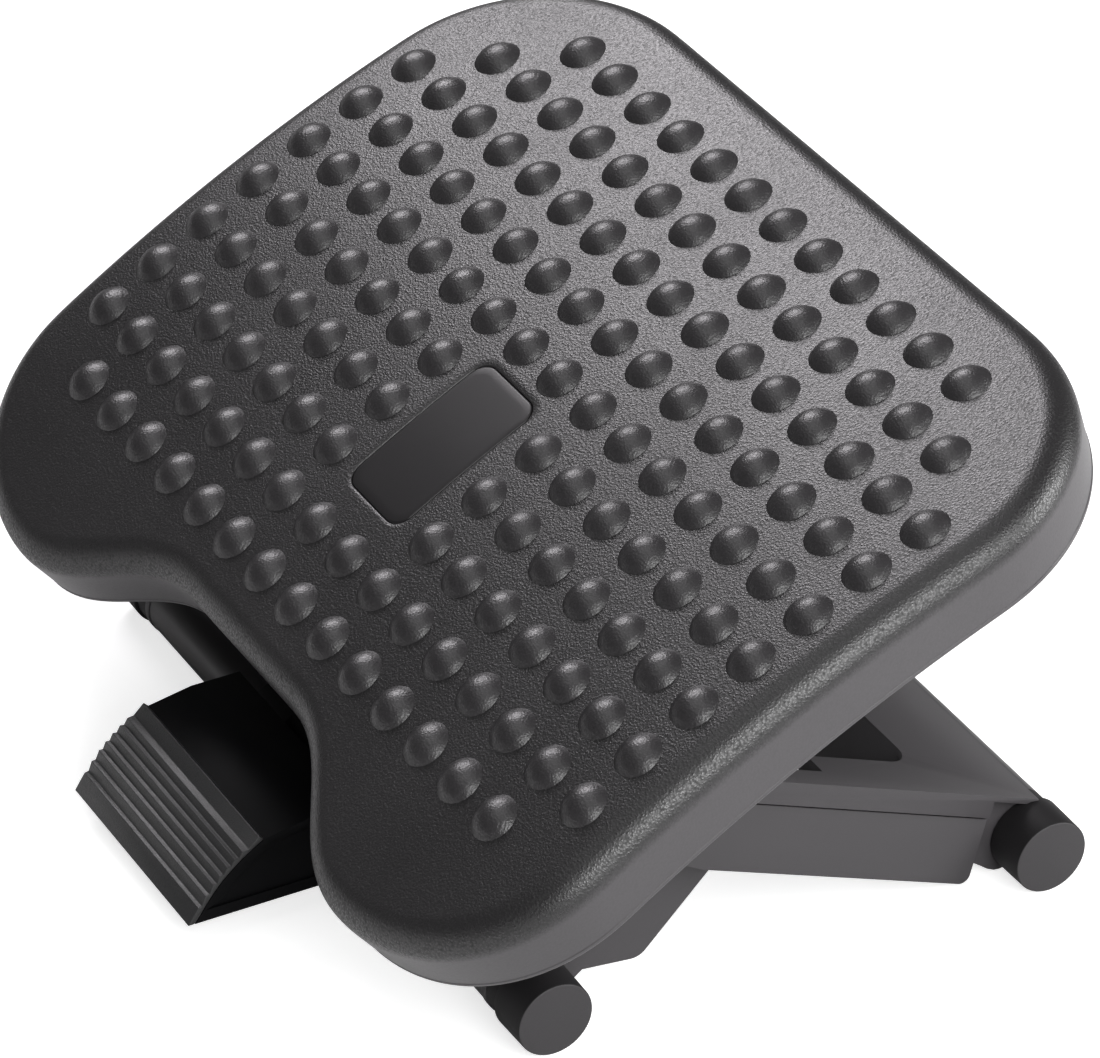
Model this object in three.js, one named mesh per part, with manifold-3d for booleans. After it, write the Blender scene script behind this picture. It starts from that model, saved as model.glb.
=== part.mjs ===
// Tilting under desk footrest: a curved, bumpy deck on two crossed leg frames, locked by a foot pedal.
// Millimetres. x runs along the deck's width, to the user's right. y runs from the heel edge to the toe edge.
// z runs up from the floor. The deck is at the tilt in which it is used, near the top of its range.
import * as THREE from 'three';
import { mergeVertices } from 'three/addons/utils/BufferGeometryUtils.js';
import Module from 'manifold-3d';

const wasm = await Module();
wasm.setup();

const radians = THREE.MathUtils.degToRad;

// Stance of the linkage in side view, with y from the deck's middle and z from the floor
const deckTilt = radians(27.15);
const deckHeight = 179.7;
const toeFootY = 143.4;
const heelFootY = -78.5;
const hingeArc = -107;
const hingeDepth = 24;
const glideArc = 99;
const glideDepth = 22.8;
const foldDown = radians(12);
const foldUp = radians(2);

// Feet and foot bars
const footRadius = 16.2;
const footLength = 19.5;
const footReach = 16.2;
const footWall = 5;
const footEdge = 0.8;
const barRadius = 14.8;
const spigotRadius = 10;
const roundSides = 24;

// Clearances
const seatGap = 0.3;
const runningGap = 0.35;
const overrun = 2;
const bite = 1;

// Deck shell
const sideBorder = 14;
const toeReach = 160;
const heelReach = 191;
const scallopReach = 151;
const scallopHalfWidth = 45;
const lobeWidth = 90;
const lobeDepth = 80;
const toeCornerX = 95;
const toeCornerY = 85;
const deckArcRadius = 853;
const deckDepth = 32;
const shellWall = 3;
const rimWidth = 13;
const rimRise = 1.2;
const rimValley = 1.2;
const rimShoulderShare = 0.72;
const rimCrestShare = 0.5;
const rimBrowShare = 0.26;
const rimTurnShares = [0.08, 0.25];
const rimWallShare = 0.6;
const rimUnderShare = 0.4;
const lobeSwayShare = 0.42;
const deckOutlineSides = 64;
const fieldLap = 2.5;

// Bumps
const bumpPitch = 27;
const bumpColumns = 16;
const bumpsLeftOutAtEachEnd = [2, 1, 0, 0, 0, 0, 0, 0, 0, 1];
const bumpRadius = 10;
const bumpHeight = 4.8;
const bumpRoot = 0.8;
const bumpSides = 8;
const bumpShoulderShare = 0.7;
const bumpShoulderHeightShare = 0.76;

// Deck ribs
const ribThickness = 2;
const ribDrop = 10;
const crossRibArcs = [120, 80, 40, 0, -40, -80, -120];
const crossRibGap = 4;
const sideRibArcs = [60, 20, -20, -60, -100];
const sideRibGap = 15.5;
const longRibShares = [0.34, 0.68, 0.98];

// Centre plate
const plateWidth = 43;
const plateLength = 72;
const plateArc = -37.5;
const plateCorner = 8;
const plateThickness = 2.2;
const platePad = 4;
const plateSides = 32;

// Deck rails, which carry the hinge at one end and the glide slot at the other
const railGap = 2.5;
const railThickness = 4;
const railEdge = 4;
const railTabWidth = 18;
const railTabReach = 16.5;
const railTabThickness = 3;
const railTabPlaces = [52, 132];
const railWindowPlaces = [30, 92];
const railWindowLength = 30;
const railWindowRadius = 5.5;
const bossRadius = 5;
const screwHeadRadius = 3.8;
const screwHeadHeight = 2.4;
const screwShankRadius = 1.7;
const screwLength = 9;
const screwSides = 12;

// Rods
const hingeRodRadius = 4;
const axleRadius = 5;
const glideBarRadius = 6;
const sleeveWall = 1.5;
const sleeveFlangeWall = 4;
const sleeveFlangeThickness = 2.4;
const slotSlack = 0.9;
const rodSides = 12;
const rodCapWall = 3.4;
const rodCapThickness = 3.6;

// Outer leg frame
const outerLegHalfWidth = 162;
const outerWall = 4;
const outerPlateTop = 16.8;
const outerPlateThickness = 2.5;
const outerPlateToe = -2.9;
const outerPlateHeel = -172;
const skirtToe = -24.8;
const skirtToeLow = -20.5;
const skirtBottom = -24;
const skirtHeel = -150;
const skirtCorner = 4;
const skirtStep = 1.2;
const grooveTop = 6.9;
const grooveHeight = 1.2;
const grooveDepth = 1;
const windowBorder = 23;
const windowToe = -51;
const windowCorner = 12;
const windowWideGap = 5;
const windowLegGap = 1;
const outerShoulder = -176;
const outerHubRadius = 11;
const axleBossRadius = 13;
const axleBossRise = 1.2;
const saddleInset = 105;
const saddleThickness = 7;
const saddleHeel = -36;
const saddleToe = 7;
const saddleSole = 3.6;
const saddleBendShare = 0.8;
const saddleFlareShare = 0.55;
const saddleUnderShare = 0.6;
const saddleNoseShare = 0.2;
const toeHubThickness = 5;
const toeHubHeel = -30;
const toeHubShares = [[-1.2, -0.95], [-0.96, -1.01], [-0.68, -1.09], [-0.46, -1.11], [-0.3, -1.07], [-0.22, -1.02]];
const crossWallThickness = 2.5;
const crossWallDrop = 39;

// Inner leg frame
const legGap = 8;
const innerWall = 3.5;
const innerPlateTop = 16.8;
const innerPlateThickness = 2.5;
const lowerPlateSpan = [36, 75];
const upperPlateInset = 28;
const upperPlateLength = 76;
const innerSkirtDrop = 42.5;
const innerSkirtTaper = 116;
const innerSoleHeight = 5;
const innerSoleToe = 18;
const innerBellyStart = 27;
const innerBellyStartHeight = 11.9;
const innerBellyEndHeight = 8.9;
const innerBellyRound = 4;
const innerHeelRound = 15.2;
const glideHubRadius = 12;
const bushWall = 1.8;
const bushFlangeWall = 3;
const bushFlange = 1.5;
const drumNotchGap = 5;
const drumNotchSideGap = 6;
const armGap = 1.5;

// Lock drum on the cross axle
const drumRadius = 30;
const drumHalfWidth = 18;
const drumSides = 32;
const drumHoleRadius = 5;
const drumHoleCircle = 17.5;
const drumHoleCount = 6;

// Pedal, with y and z from the heel foot bar's axis
const pedalHalfWidth = 52;
const pedalTipY = -93.1;
const pedalBottom = -5.6;
const pedalCrestY = -61.7;
const pedalCrestZ = 26.6;
const pedalTopY = -40.5;
const pedalTopZ = 28;
const pedalBackY = -19;
const pedalWall = 3;
const pedalPanelInset = 5;
const pedalPanelDepth = 1;
const saddleWall = 4;
const armHalfWidth = 14;
const armThickness = 10;
const armReach = 97;
const armTipShares = [0.4, 0.6];
const armWaistShare = 0.4;
const armRootShare = 2.2;
const tongueXs = [22, 42];
const tongueToeY = 32;
const tongueTop = 13.5;
const tongueThickness = 4;
const tongueRootShare = 0.8;

// Tread on the pedal's slope
const treadBulge = 3.2;
const treadThickness = 3;
const treadRidgeShares = [0.184, 0.307, 0.427, 0.524, 0.622, 0.716, 0.807];
const toothFallShare = 0.25;
const toothDepth = 1.3;

// Brake shoe on the pedal's arm
const shoeThickness = 4.85;
const shoeHalfChord = 12;
const shoeHalfWidth = 13;
const shoeSteps = 8;

// Return springs between the pedal's tongues and the inner leg
const springX = 32;
const springY = 23.5;
const springCoilRadius = 4.5;
const springWire = 1.5;
const springTurns = 6;
const springStepsPerTurn = 7;
const springSides = 4;
const springSeatRadius = 6;
const springSeatDrop = 5;

// Colours of the moulded plastic, the rubber and the steel
const plasticColour = 0x39383a;
const legColour = 0x59575a;
const deckColour = 0x3d3c3f;
const rubberColour = 0x2c2b2d;
const blackColour = 0x141414;
const steelColour = 0x8c8f92;

// Widths that follow from one another
const deckWidth = bumpColumns * bumpPitch + 2 * sideBorder;
const lobeX = deckWidth / 2 - lobeWidth;
const innerLegHalfWidth = outerLegHalfWidth - outerWall - legGap;
const footEndX = outerLegHalfWidth + footReach;
const footStartX = footEndX - footLength;
const neckStartX = innerLegHalfWidth + seatGap;
const railInnerX = innerLegHalfWidth + railGap;
const railTabInnerX = railInnerX - railTabReach;
const crossRibHalfLength = railTabInnerX - crossRibGap;
const sideRibStartX = railInnerX + sideRibGap;
const windowHalfWidth = outerLegHalfWidth - windowBorder;

// Linkage worked out from the stance
const toeFoot = new THREE.Vector2(toeFootY, footRadius);
const heelFoot = new THREE.Vector2(heelFootY, footRadius);
const hingeInDeck = arcPoint(hingeArc, -hingeDepth);
const hinge = fromDeck(hingeInDeck);
const glideInDeck = arcPoint(glideArc, -glideDepth);
const glide = fromDeck(glideInDeck);
const outerLegLength = hinge.distanceTo(toeFoot);
const outerLegRise = Math.atan2(hinge.y - toeFoot.y, toeFoot.x - hinge.x);
const innerLegLength = heelFoot.distanceTo(glide);
const innerLegRise = Math.atan2(glide.y - heelFoot.y, glide.x - heelFoot.x);
const legAngle = outerLegRise + innerLegRise;
const lowestAngle = legAngle - foldDown;
const footSpan = heelFoot.distanceTo(toeFoot);
const axleFromToe = footSpan * Math.sin(innerLegRise) / Math.sin(legAngle);
const axleFromHeel = footSpan * Math.sin(outerLegRise) / Math.sin(legAngle);
const axle = along(heelFoot, innerLegRise, axleFromHeel);
const hingeArm = outerLegLength - axleFromToe;
const glideArm = innerLegLength - axleFromHeel;
const railAngle = Math.atan2(glideInDeck.y - hingeInDeck.y, glideInDeck.x - hingeInDeck.x);
const sleeveRadius = glideBarRadius + seatGap + sleeveWall;
const slotStart = glideReach(legAngle + foldUp) - slotSlack;
const slotEnd = glideReach(lowestAngle) + slotSlack;
const slotHalfHeight = sleeveRadius + slotSlack;
const railHalfHeight = slotHalfHeight + railEdge;
const legCrossing = outerPlateTop / Math.tan(lowestAngle) + innerSkirtDrop / Math.sin(lowestAngle);
const windowWiderFrom = legCrossing + windowWideGap - axleFromToe;
const upperPlateEnd = innerLegLength - upperPlateInset;
const drumHalfChord = Math.sqrt(drumRadius ** 2 - (innerPlateTop - innerPlateThickness) ** 2);
const drumNotchStart = axleFromHeel - drumHalfChord - drumNotchGap;
const drumNotchHalfWidth = drumHalfWidth + drumNotchSideGap;

function along(start, rise, length) {
  return new THREE.Vector2(start.x + length * Math.cos(rise), start.y + length * Math.sin(rise));
}

// Distance from the deck's hinge to the glide bar when the legs stand at an angle to each other
function glideReach(angle) {
  return Math.sqrt(hingeArm ** 2 + glideArm ** 2 + 2 * hingeArm * glideArm * Math.cos(angle));
}

// A point of the deck's arc in the deck's own frame, from its place along the arc and its height off it
function arcPoint(arc, height) {
  const turn = arc / deckArcRadius;
  const radius = deckArcRadius + height;
  return new THREE.Vector2(radius * Math.sin(turn), radius * Math.cos(turn) - deckArcRadius);
}

function fromDeck(point) {
  return point.clone().rotateAround(new THREE.Vector2(0, 0), deckTilt).add(new THREE.Vector2(0, deckHeight));
}

// Solids and meshes

function solid(geometry) {
  const plain = geometry.clone();
  plain.deleteAttribute('normal');
  plain.deleteAttribute('uv');
  const merged = mergeVertices(plain, 1e-4);
  const triVerts = new Uint32Array(merged.index.array);
  const vertProperties = new Float32Array(merged.attributes.position.array);
  return new wasm.Manifold(new wasm.Mesh({ numProp: 3, vertProperties, triVerts }));
}

function joined(first, ...others) {
  return others.reduce((sum, next) => sum.add(next), first);
}

function cut(body, ...tools) {
  return tools.reduce((rest, tool) => rest.subtract(tool), body);
}

function piece(name, shape, colour, roughness, metalness = 0) {
  const { vertProperties, triVerts } = shape.getMesh();
  const geometry = new THREE.BufferGeometry();
  geometry.setAttribute('position', new THREE.BufferAttribute(vertProperties, 3));
  geometry.setIndex(new THREE.BufferAttribute(triVerts, 1));
  geometry.computeVertexNormals();
  const mesh = new THREE.Mesh(geometry, new THREE.MeshStandardMaterial({ color: colour, roughness, metalness }));
  mesh.name = name;
  return mesh;
}

// A side-view outline given thickness along x
function sidePlate(outline, startX, endX, curveSegments = 6) {
  const depth = endX - startX;
  const geometry = new THREE.ExtrudeGeometry(outline, { depth, bevelEnabled: false, curveSegments });
  const yAxis = new THREE.Vector3(0, 1, 0);
  const zAxis = new THREE.Vector3(0, 0, 1);
  const xAxis = new THREE.Vector3(1, 0, 0);
  geometry.applyMatrix4(new THREE.Matrix4().makeBasis(yAxis, zAxis, xAxis));
  geometry.translate(startX, 0, 0);
  return solid(geometry);
}

function block(startX, endX, startY, endY, startZ, endZ) {
  const geometry = new THREE.BoxGeometry(endX - startX, endY - startY, endZ - startZ);
  geometry.translate((startX + endX) / 2, (startY + endY) / 2, (startZ + endZ) / 2);
  return solid(geometry);
}

// A round bar along x with its flats at the stated radius, so that a flat lies on the floor
function roundBar(radius, startX, endX, y = 0, z = 0, sides = rodSides) {
  const corner = radius / Math.cos(Math.PI / sides);
  return turned([[0, startX], [corner, startX], [corner, endX], [0, endX]], sides, y, z);
}

function turned(profile, sides, y = 0, z = 0) {
  const points = profile.map(([radius, x]) => new THREE.Vector2(radius, x));
  const geometry = new THREE.LatheGeometry(points, sides, Math.PI / sides);
  geometry.rotateZ(-Math.PI / 2);
  geometry.translate(0, y, z);
  return solid(geometry);
}

function ringAlongX(innerRadius, outerRadius, startX, endX, y, z, sides = rodSides) {
  const outer = roundBar(outerRadius, startX, endX, y, z, sides);
  const bore = roundBar(innerRadius, startX - overrun, endX + overrun, y, z, sides);
  return outer.subtract(bore);
}

function mirrored(body) {
  return body.mirror([1, 0, 0]);
}

function bothSides(body) {
  return body.add(mirrored(body));
}

function outlineFrom(points) {
  return new THREE.Shape(points.map(([y, z]) => new THREE.Vector2(y, z)));
}

function stadium(start, end, radius) {
  const shape = new THREE.Shape();
  shape.moveTo(start, -radius);
  shape.lineTo(end, -radius);
  shape.absarc(end, 0, radius, -Math.PI / 2, Math.PI / 2, false);
  shape.lineTo(start, radius);
  shape.absarc(start, 0, radius, Math.PI / 2, Math.PI * 3 / 2, false);
  return shape;
}

// Surfaces that follow the deck's arc

function bent(x, arc, height) {
  const { x: y, y: z } = arcPoint(arc, height);
  return new THREE.Vector3(x, y, z);
}

// Rings of points, first to last, closed by a fan at each end
function loft(firstCentre, rings, lastCentre) {
  const count = rings[0].length;
  const points = [firstCentre, ...rings.flat(), lastCentre];
  const index = [];
  const at = (ring, side) => 1 + ring * count + (side % count);
  for (let side = 0; side < count; side += 1) {
    index.push(0, at(0, side), at(0, side + 1));
    for (let ring = 0; ring < rings.length - 1; ring += 1) {
      index.push(at(ring, side), at(ring + 1, side), at(ring + 1, side + 1));
      index.push(at(ring, side), at(ring + 1, side + 1), at(ring, side + 1));
    }
    index.push(at(rings.length - 1, side), points.length - 1, at(rings.length - 1, side + 1));
  }
  const geometry = new THREE.BufferGeometry().setFromPoints(points);
  geometry.setIndex(index);
  return solid(geometry);
}

// Rings of points joined first to last, so that they close into a hoop
function hoop(rings) {
  const count = rings[0].length;
  const index = [];
  const at = (ring, side) => (ring % rings.length) * count + (side % count);
  for (let side = 0; side < count; side += 1) {
    for (let ring = 0; ring < rings.length; ring += 1) {
      index.push(at(ring, side), at(ring + 1, side), at(ring + 1, side + 1));
      index.push(at(ring, side), at(ring + 1, side + 1), at(ring, side + 1));
    }
  }
  const geometry = new THREE.BufferGeometry().setFromPoints(rings.flat());
  geometry.setIndex(index);
  return solid(geometry);
}

function inset(outline, distance) {
  return outline.map((point, place) => {
    const before = outline[(place + outline.length - 1) % outline.length];
    const after = outline[(place + 1) % outline.length];
    const normal = after.clone().sub(before).rotateAround(new THREE.Vector2(0, 0), -Math.PI / 2).normalize();
    return point.clone().addScaledVector(normal, -distance);
  });
}

function shrunk(outline, share, centre) {
  return outline.map((point) => centre.clone().lerp(point, share));
}

function ringAt(outline, height) {
  return outline.map((point) => bent(point.x, point.y, height));
}

// Deck outline seen square to the deck: straight toe edge, two heel lobes and the scallop between them
function deckOutline() {
  const halfWidth = deckWidth / 2;
  const cornerX = halfWidth - toeCornerX;
  const cornerY = toeReach - toeCornerY;
  const lobeY = -heelReach + lobeDepth;
  const sway = (lobeX - scallopHalfWidth) * lobeSwayShare;
  const shape = new THREE.Shape();
  shape.moveTo(-scallopHalfWidth, -scallopReach);
  shape.lineTo(scallopHalfWidth, -scallopReach);
  shape.bezierCurveTo(scallopHalfWidth + sway, -scallopReach, lobeX - sway, -heelReach, lobeX, -heelReach);
  shape.absellipse(lobeX, lobeY, lobeWidth, lobeDepth, -Math.PI / 2, 0, false);
  shape.lineTo(halfWidth, cornerY);
  shape.absellipse(cornerX, cornerY, toeCornerX, toeCornerY, 0, Math.PI / 2, false);
  shape.lineTo(-cornerX, toeReach);
  shape.absellipse(-cornerX, cornerY, toeCornerX, toeCornerY, Math.PI / 2, Math.PI, false);
  shape.lineTo(-halfWidth, lobeY);
  shape.absellipse(-lobeX, lobeY, lobeWidth, lobeDepth, Math.PI, Math.PI * 3 / 2, false);
  shape.bezierCurveTo(
    sway - lobeX, -heelReach, -scallopHalfWidth - sway, -scallopReach, -scallopHalfWidth, -scallopReach,
  );
  return shape.getSpacedPoints(deckOutlineSides).slice(0, deckOutlineSides);
}

function roundedRectangle(width, length, corner) {
  const halfWidth = width / 2;
  const halfLength = length / 2;
  const shape = new THREE.Shape();
  shape.moveTo(corner - halfWidth, -halfLength);
  shape.absarc(halfWidth - corner, corner - halfLength, corner, -Math.PI / 2, 0, false);
  shape.absarc(halfWidth - corner, halfLength - corner, corner, 0, Math.PI / 2, false);
  shape.absarc(corner - halfWidth, halfLength - corner, corner, Math.PI / 2, Math.PI, false);
  shape.absarc(corner - halfWidth, corner - halfLength, corner, Math.PI, Math.PI * 3 / 2, false);
  return shape;
}

// A slab with rounded corners that follows the arc of the deck round the centre plate's place
function plateSlab(grow, low, high) {
  const outline = roundedRectangle(plateWidth + 2 * grow, plateLength + 2 * grow, plateCorner + grow)
    .getSpacedPoints(plateSides)
    .slice(0, plateSides)
    .map((point) => new THREE.Vector2(point.x, point.y + plateArc));
  const centre = new THREE.Vector2(0, plateArc);
  const middle = shrunk(outline, 0.5, centre);
  const rings = [ringAt(middle, high), ringAt(outline, high), ringAt(outline, low), ringAt(middle, low)];
  return loft(bent(0, plateArc, high), rings, bent(0, plateArc, low));
}

// A bar of arc seen from the side, straight between the gaps of the bump rows
function arcBand(startArc, endArc, low, high) {
  const arcs = [startArc];
  for (let arc = (Math.floor(startArc / bumpPitch) + 1) * bumpPitch; arc < endArc; arc += bumpPitch) {
    arcs.push(arc);
  }
  arcs.push(endArc);
  return new THREE.Shape([
    ...arcs.map((arc) => arcPoint(arc, low)),
    ...arcs.toReversed().map((arc) => arcPoint(arc, high)),
  ]);
}

function deckField(outline) {
  const plan = inset(outline, rimWidth - fieldLap).map((point) => new THREE.Vector2(point.x, arcPoint(point.y, 0).x));
  const depth = deckArcRadius - arcPoint(-heelReach, 0).y;
  const prism = new THREE.ExtrudeGeometry(new THREE.Shape(plan), { depth, bevelEnabled: false });
  prism.translate(0, 0, -depth / 2);
  const slab = sidePlate(arcBand(-heelReach, toeReach, -shellWall, 0), -deckWidth / 2, deckWidth / 2);
  return slab.intersect(solid(prism));
}

function deckRim(outline) {
  const lines = [
    [rimWidth, -rimValley],
    [rimWidth * rimShoulderShare, -rimValley],
    [rimWidth * rimCrestShare, rimRise],
    [rimWidth * rimBrowShare, 0],
    [rimWidth * rimTurnShares[0], -rimWidth * rimTurnShares[1]],
    [0, -rimWidth * rimWallShare],
    [0, -deckDepth],
    [shellWall, -deckDepth],
    [shellWall + rimWidth * rimTurnShares[0], -shellWall - rimWidth * rimUnderShare],
    [rimWidth, -shellWall + rimValley / 2],
  ];
  return hoop(lines.map(([distance, height]) => ringAt(inset(outline, distance), height)));
}

function onDeck(body, x, arc) {
  const { x: y, y: z } = arcPoint(arc, 0);
  const lean = THREE.MathUtils.radToDeg(-arc / deckArcRadius);
  return body.rotate([lean, 0, 0]).translate([x, y, z]);
}

function bump() {
  const points = [new THREE.Vector2(0, -bumpRoot), new THREE.Vector2(bumpRadius, -bumpRoot)];
  points.push(new THREE.Vector2(bumpRadius * bumpShoulderShare, bumpHeight * bumpShoulderHeightShare));
  points.push(new THREE.Vector2(0, bumpHeight));
  const geometry = new THREE.LatheGeometry(points, bumpSides, Math.PI / bumpSides);
  geometry.rotateX(Math.PI / 2);
  return solid(geometry);
}

function bumpPlaces() {
  const places = [];
  bumpsLeftOutAtEachEnd.forEach((leftOut, row) => {
    const arc = bumpPitch * ((bumpsLeftOutAtEachEnd.length - 1) / 2 - row);
    const overPlate = Math.abs(arc - plateArc) < plateLength / 2 + bumpRadius;
    for (let column = leftOut; column < bumpColumns - leftOut; column += 1) {
      const x = bumpPitch * (column - (bumpColumns - 1) / 2);
      if (!overPlate || Math.abs(x) > plateWidth / 2 + bumpRadius) {
        places.push([x, arc]);
      }
    }
  });
  return places;
}

function longRib(x, startArc, endArc) {
  const side = arcBand(startArc, endArc, -ribDrop, -shellWall / 2);
  return sidePlate(side, x - ribThickness / 2, x + ribThickness / 2);
}

function crossRib(startX, endX, arc) {
  const body = block(startX, endX, -ribThickness / 2, ribThickness / 2, -ribDrop, -shellWall / 2);
  return onDeck(body, 0, arc);
}

// Height of the shell's underside over a place along the rail, in the rail's own frame
function shellOverRail(place) {
  const inDeck = hingeInDeck.clone().add(new THREE.Vector2(place, 0).rotateAround(new THREE.Vector2(0, 0), railAngle));
  const arc = deckArcRadius * Math.atan2(inDeck.x, inDeck.y + deckArcRadius);
  const under = arcPoint(arc, -shellWall / 2).sub(hingeInDeck).rotateAround(new THREE.Vector2(0, 0), -railAngle);
  return under.y;
}

function inRailFrame(body) {
  const lean = THREE.MathUtils.radToDeg(railAngle);
  return body.rotate([lean, 0, 0]).translate([0, hingeInDeck.x, hingeInDeck.y]);
}

const tabX = (railTabInnerX + railInnerX) / 2;

function uprightPin(radius, low, high, x, y, sides = screwSides) {
  const geometry = new THREE.CylinderGeometry(radius, radius, high - low, sides);
  geometry.rotateX(Math.PI / 2);
  geometry.translate(x, y, (low + high) / 2);
  return solid(geometry);
}

function makeDeckShell() {
  const bumps = bumpPlaces().map(([x, arc]) => onDeck(bump(), x, arc));
  const ribs = [
    ...crossRibArcs.map((arc) => crossRib(-crossRibHalfLength, crossRibHalfLength, arc)),
    ...sideRibArcs.map((arc) => bothSides(crossRib(sideRibStartX, (deckWidth - shellWall) / 2, arc))),
    ...longRibShares.map((share) => (
      bothSides(longRib(crossRibHalfLength * share, -scallopReach + shellWall / 2, toeReach - shellWall / 2))
    )),
  ];
  const bosses = railTabPlaces.map((place) => {
    const high = shellOverRail(place);
    const post = uprightPin(bossRadius, railHalfHeight + seatGap, high, tabX, place);
    const hole = uprightPin(screwShankRadius + seatGap, railHalfHeight - overrun, screwTop(), tabX, place);
    return bothSides(inRailFrame(post.subtract(hole)));
  });
  const pad = plateSlab(platePad, -shellWall - platePad, -shellWall / 2);
  const pocket = plateSlab(seatGap, -plateThickness - seatGap, bumpHeight);
  const outline = deckOutline();
  const shell = joined(deckField(outline), deckRim(outline));
  return cut(joined(shell, ...ribs, ...bosses, pad, ...bumps), pocket);
}

function screwTop() {
  return railHalfHeight - railTabThickness + screwLength;
}

function makeDeckRail() {
  const length = slotEnd;
  const web = stadium(0, length, railHalfHeight);
  web.holes.push(stadium(slotStart, slotEnd, slotHalfHeight));
  railWindowPlaces.forEach((place) => {
    web.holes.push(stadium(place, place + railWindowLength, railWindowRadius));
  });
  const plate = sidePlate(web, railInnerX, railInnerX + railThickness);
  const bore = roundBar(hingeRodRadius + runningGap, railInnerX - overrun, railInnerX + railThickness + overrun);
  const tabs = railTabPlaces.map((place) => {
    const low = railHalfHeight - railTabThickness;
    const start = place - railTabWidth / 2;
    const tab = block(railTabInnerX, railInnerX + railThickness / 2, start, start + railTabWidth, low, railHalfHeight);
    return tab.subtract(uprightPin(screwShankRadius + seatGap, low - overrun, railHalfHeight + overrun, tabX, place));
  });
  return inRailFrame(cut(joined(plate, ...tabs), bore));
}

function makeRailScrew(place) {
  const low = railHalfHeight - railTabThickness - seatGap;
  const shank = uprightPin(screwShankRadius, low - screwHeadHeight / 2, screwTop() - seatGap, tabX, place);
  const head = uprightPin(screwHeadRadius, low - screwHeadHeight, low, tabX, place);
  return inRailFrame(joined(head, shank));
}

// Feet: a bar whose ends step down into moulded caps

function makeFootBar(foot, barEnd) {
  const spigotEnd = footEndX - footWall - seatGap;
  const bar = roundBar(barRadius, -barEnd, barEnd, foot.x, foot.y, roundSides);
  const spigots = roundBar(spigotRadius, -spigotEnd, spigotEnd, foot.x, foot.y, roundSides);
  return joined(bar, spigots);
}

// A cap has a neck as thick as the bar and a wider head that stands on the floor
function makeFootCap(foot) {
  const flat = Math.cos(Math.PI / roundSides);
  const outer = footRadius / flat;
  const neck = barRadius / flat;
  const profile = [
    [0, neckStartX],
    [neck, neckStartX],
    [neck, footStartX],
    [outer, footStartX],
    [outer, footEndX - footEdge],
    [outer - footEdge, footEndX],
    [0, footEndX],
  ];
  const body = turned(profile, roundSides, foot.x, foot.y);
  const bore = roundBar(
    spigotRadius + seatGap, neckStartX - overrun, footEndX - footWall, foot.x, foot.y, roundSides,
  );
  return body.subtract(bore);
}

// Outer leg frame, in its own frame: y points from the deck's hinge to the toe foot, z square to that

function outerSideOutline() {
  const shape = new THREE.Shape();
  shape.moveTo(skirtToe, outerPlateTop);
  shape.lineTo(outerShoulder, outerPlateTop);
  shape.lineTo(-outerLegLength, outerHubRadius);
  shape.absarc(-outerLegLength, 0, outerHubRadius, Math.PI / 2, Math.PI * 3 / 2, false);
  shape.lineTo(skirtHeel, skirtBottom);
  const lean = Math.atan2(skirtToeLow - skirtToe, outerPlateTop - skirtBottom);
  shape.lineTo(skirtToeLow - skirtCorner, skirtBottom);
  shape.absarc(skirtToeLow - skirtCorner, skirtBottom + skirtCorner, skirtCorner, -Math.PI / 2, lean, false);
  return shape;
}

function makeOuterLeg() {
  const outerX = outerLegHalfWidth;
  const innerX = outerX - outerWall;
  const plateBottom = outerPlateTop - outerPlateThickness;
  const farPast = -outerLegLength - outerHubRadius - overrun;
  const wall = sidePlate(outerSideOutline(), innerX, outerX);
  const boss = roundBar(axleBossRadius, outerX - outerWall, outerX, -axleFromToe, 0, roundSides);
  const stepped = cut(
    wall,
    block(outerX - skirtStep, outerX + overrun, farPast, overrun, skirtBottom - overrun, grooveTop),
    block(
      outerX - skirtStep - grooveDepth, outerX + overrun, outerShoulder, overrun, grooveTop - grooveHeight, grooveTop,
    ),
  );
  const side = cut(
    joined(stepped, boss),
    roundBar(axleRadius + seatGap, innerX - overrun, outerX + overrun, -axleFromToe),
    roundBar(hingeRodRadius + seatGap, innerX - overrun, outerX + overrun, -outerLegLength),
  );
  const plate = block(-outerX, outerX, outerPlateHeel, outerPlateToe, plateBottom, outerPlateTop);
  const crossWall = block(
    -innerX - bite, innerX + bite, windowToe, windowToe + crossWallThickness,
    outerPlateTop - crossWallDrop, outerPlateTop - bite,
  );
  const saddleX = outerX - saddleInset;
  const saddle = sidePlate(saddleOutline(), saddleX - saddleThickness, saddleX);
  const hubX = footStartX - seatGap;
  const hub = sidePlate(toeHubOutline(), hubX - toeHubThickness, hubX);
  const frame = joined(plate, bothSides(side), crossWall, bothSides(saddle), bothSides(hub));
  return cut(
    frame,
    windowCutter(plateBottom - overrun, outerPlateTop + overrun),
    roundBar(barRadius + seatGap, -outerX, outerX, 0, 0, roundSides),
    bothSides(roundBar(footRadius + seatGap, footStartX - seatGap, outerX + overrun, 0, 0, roundSides)),
  );
}

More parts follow.
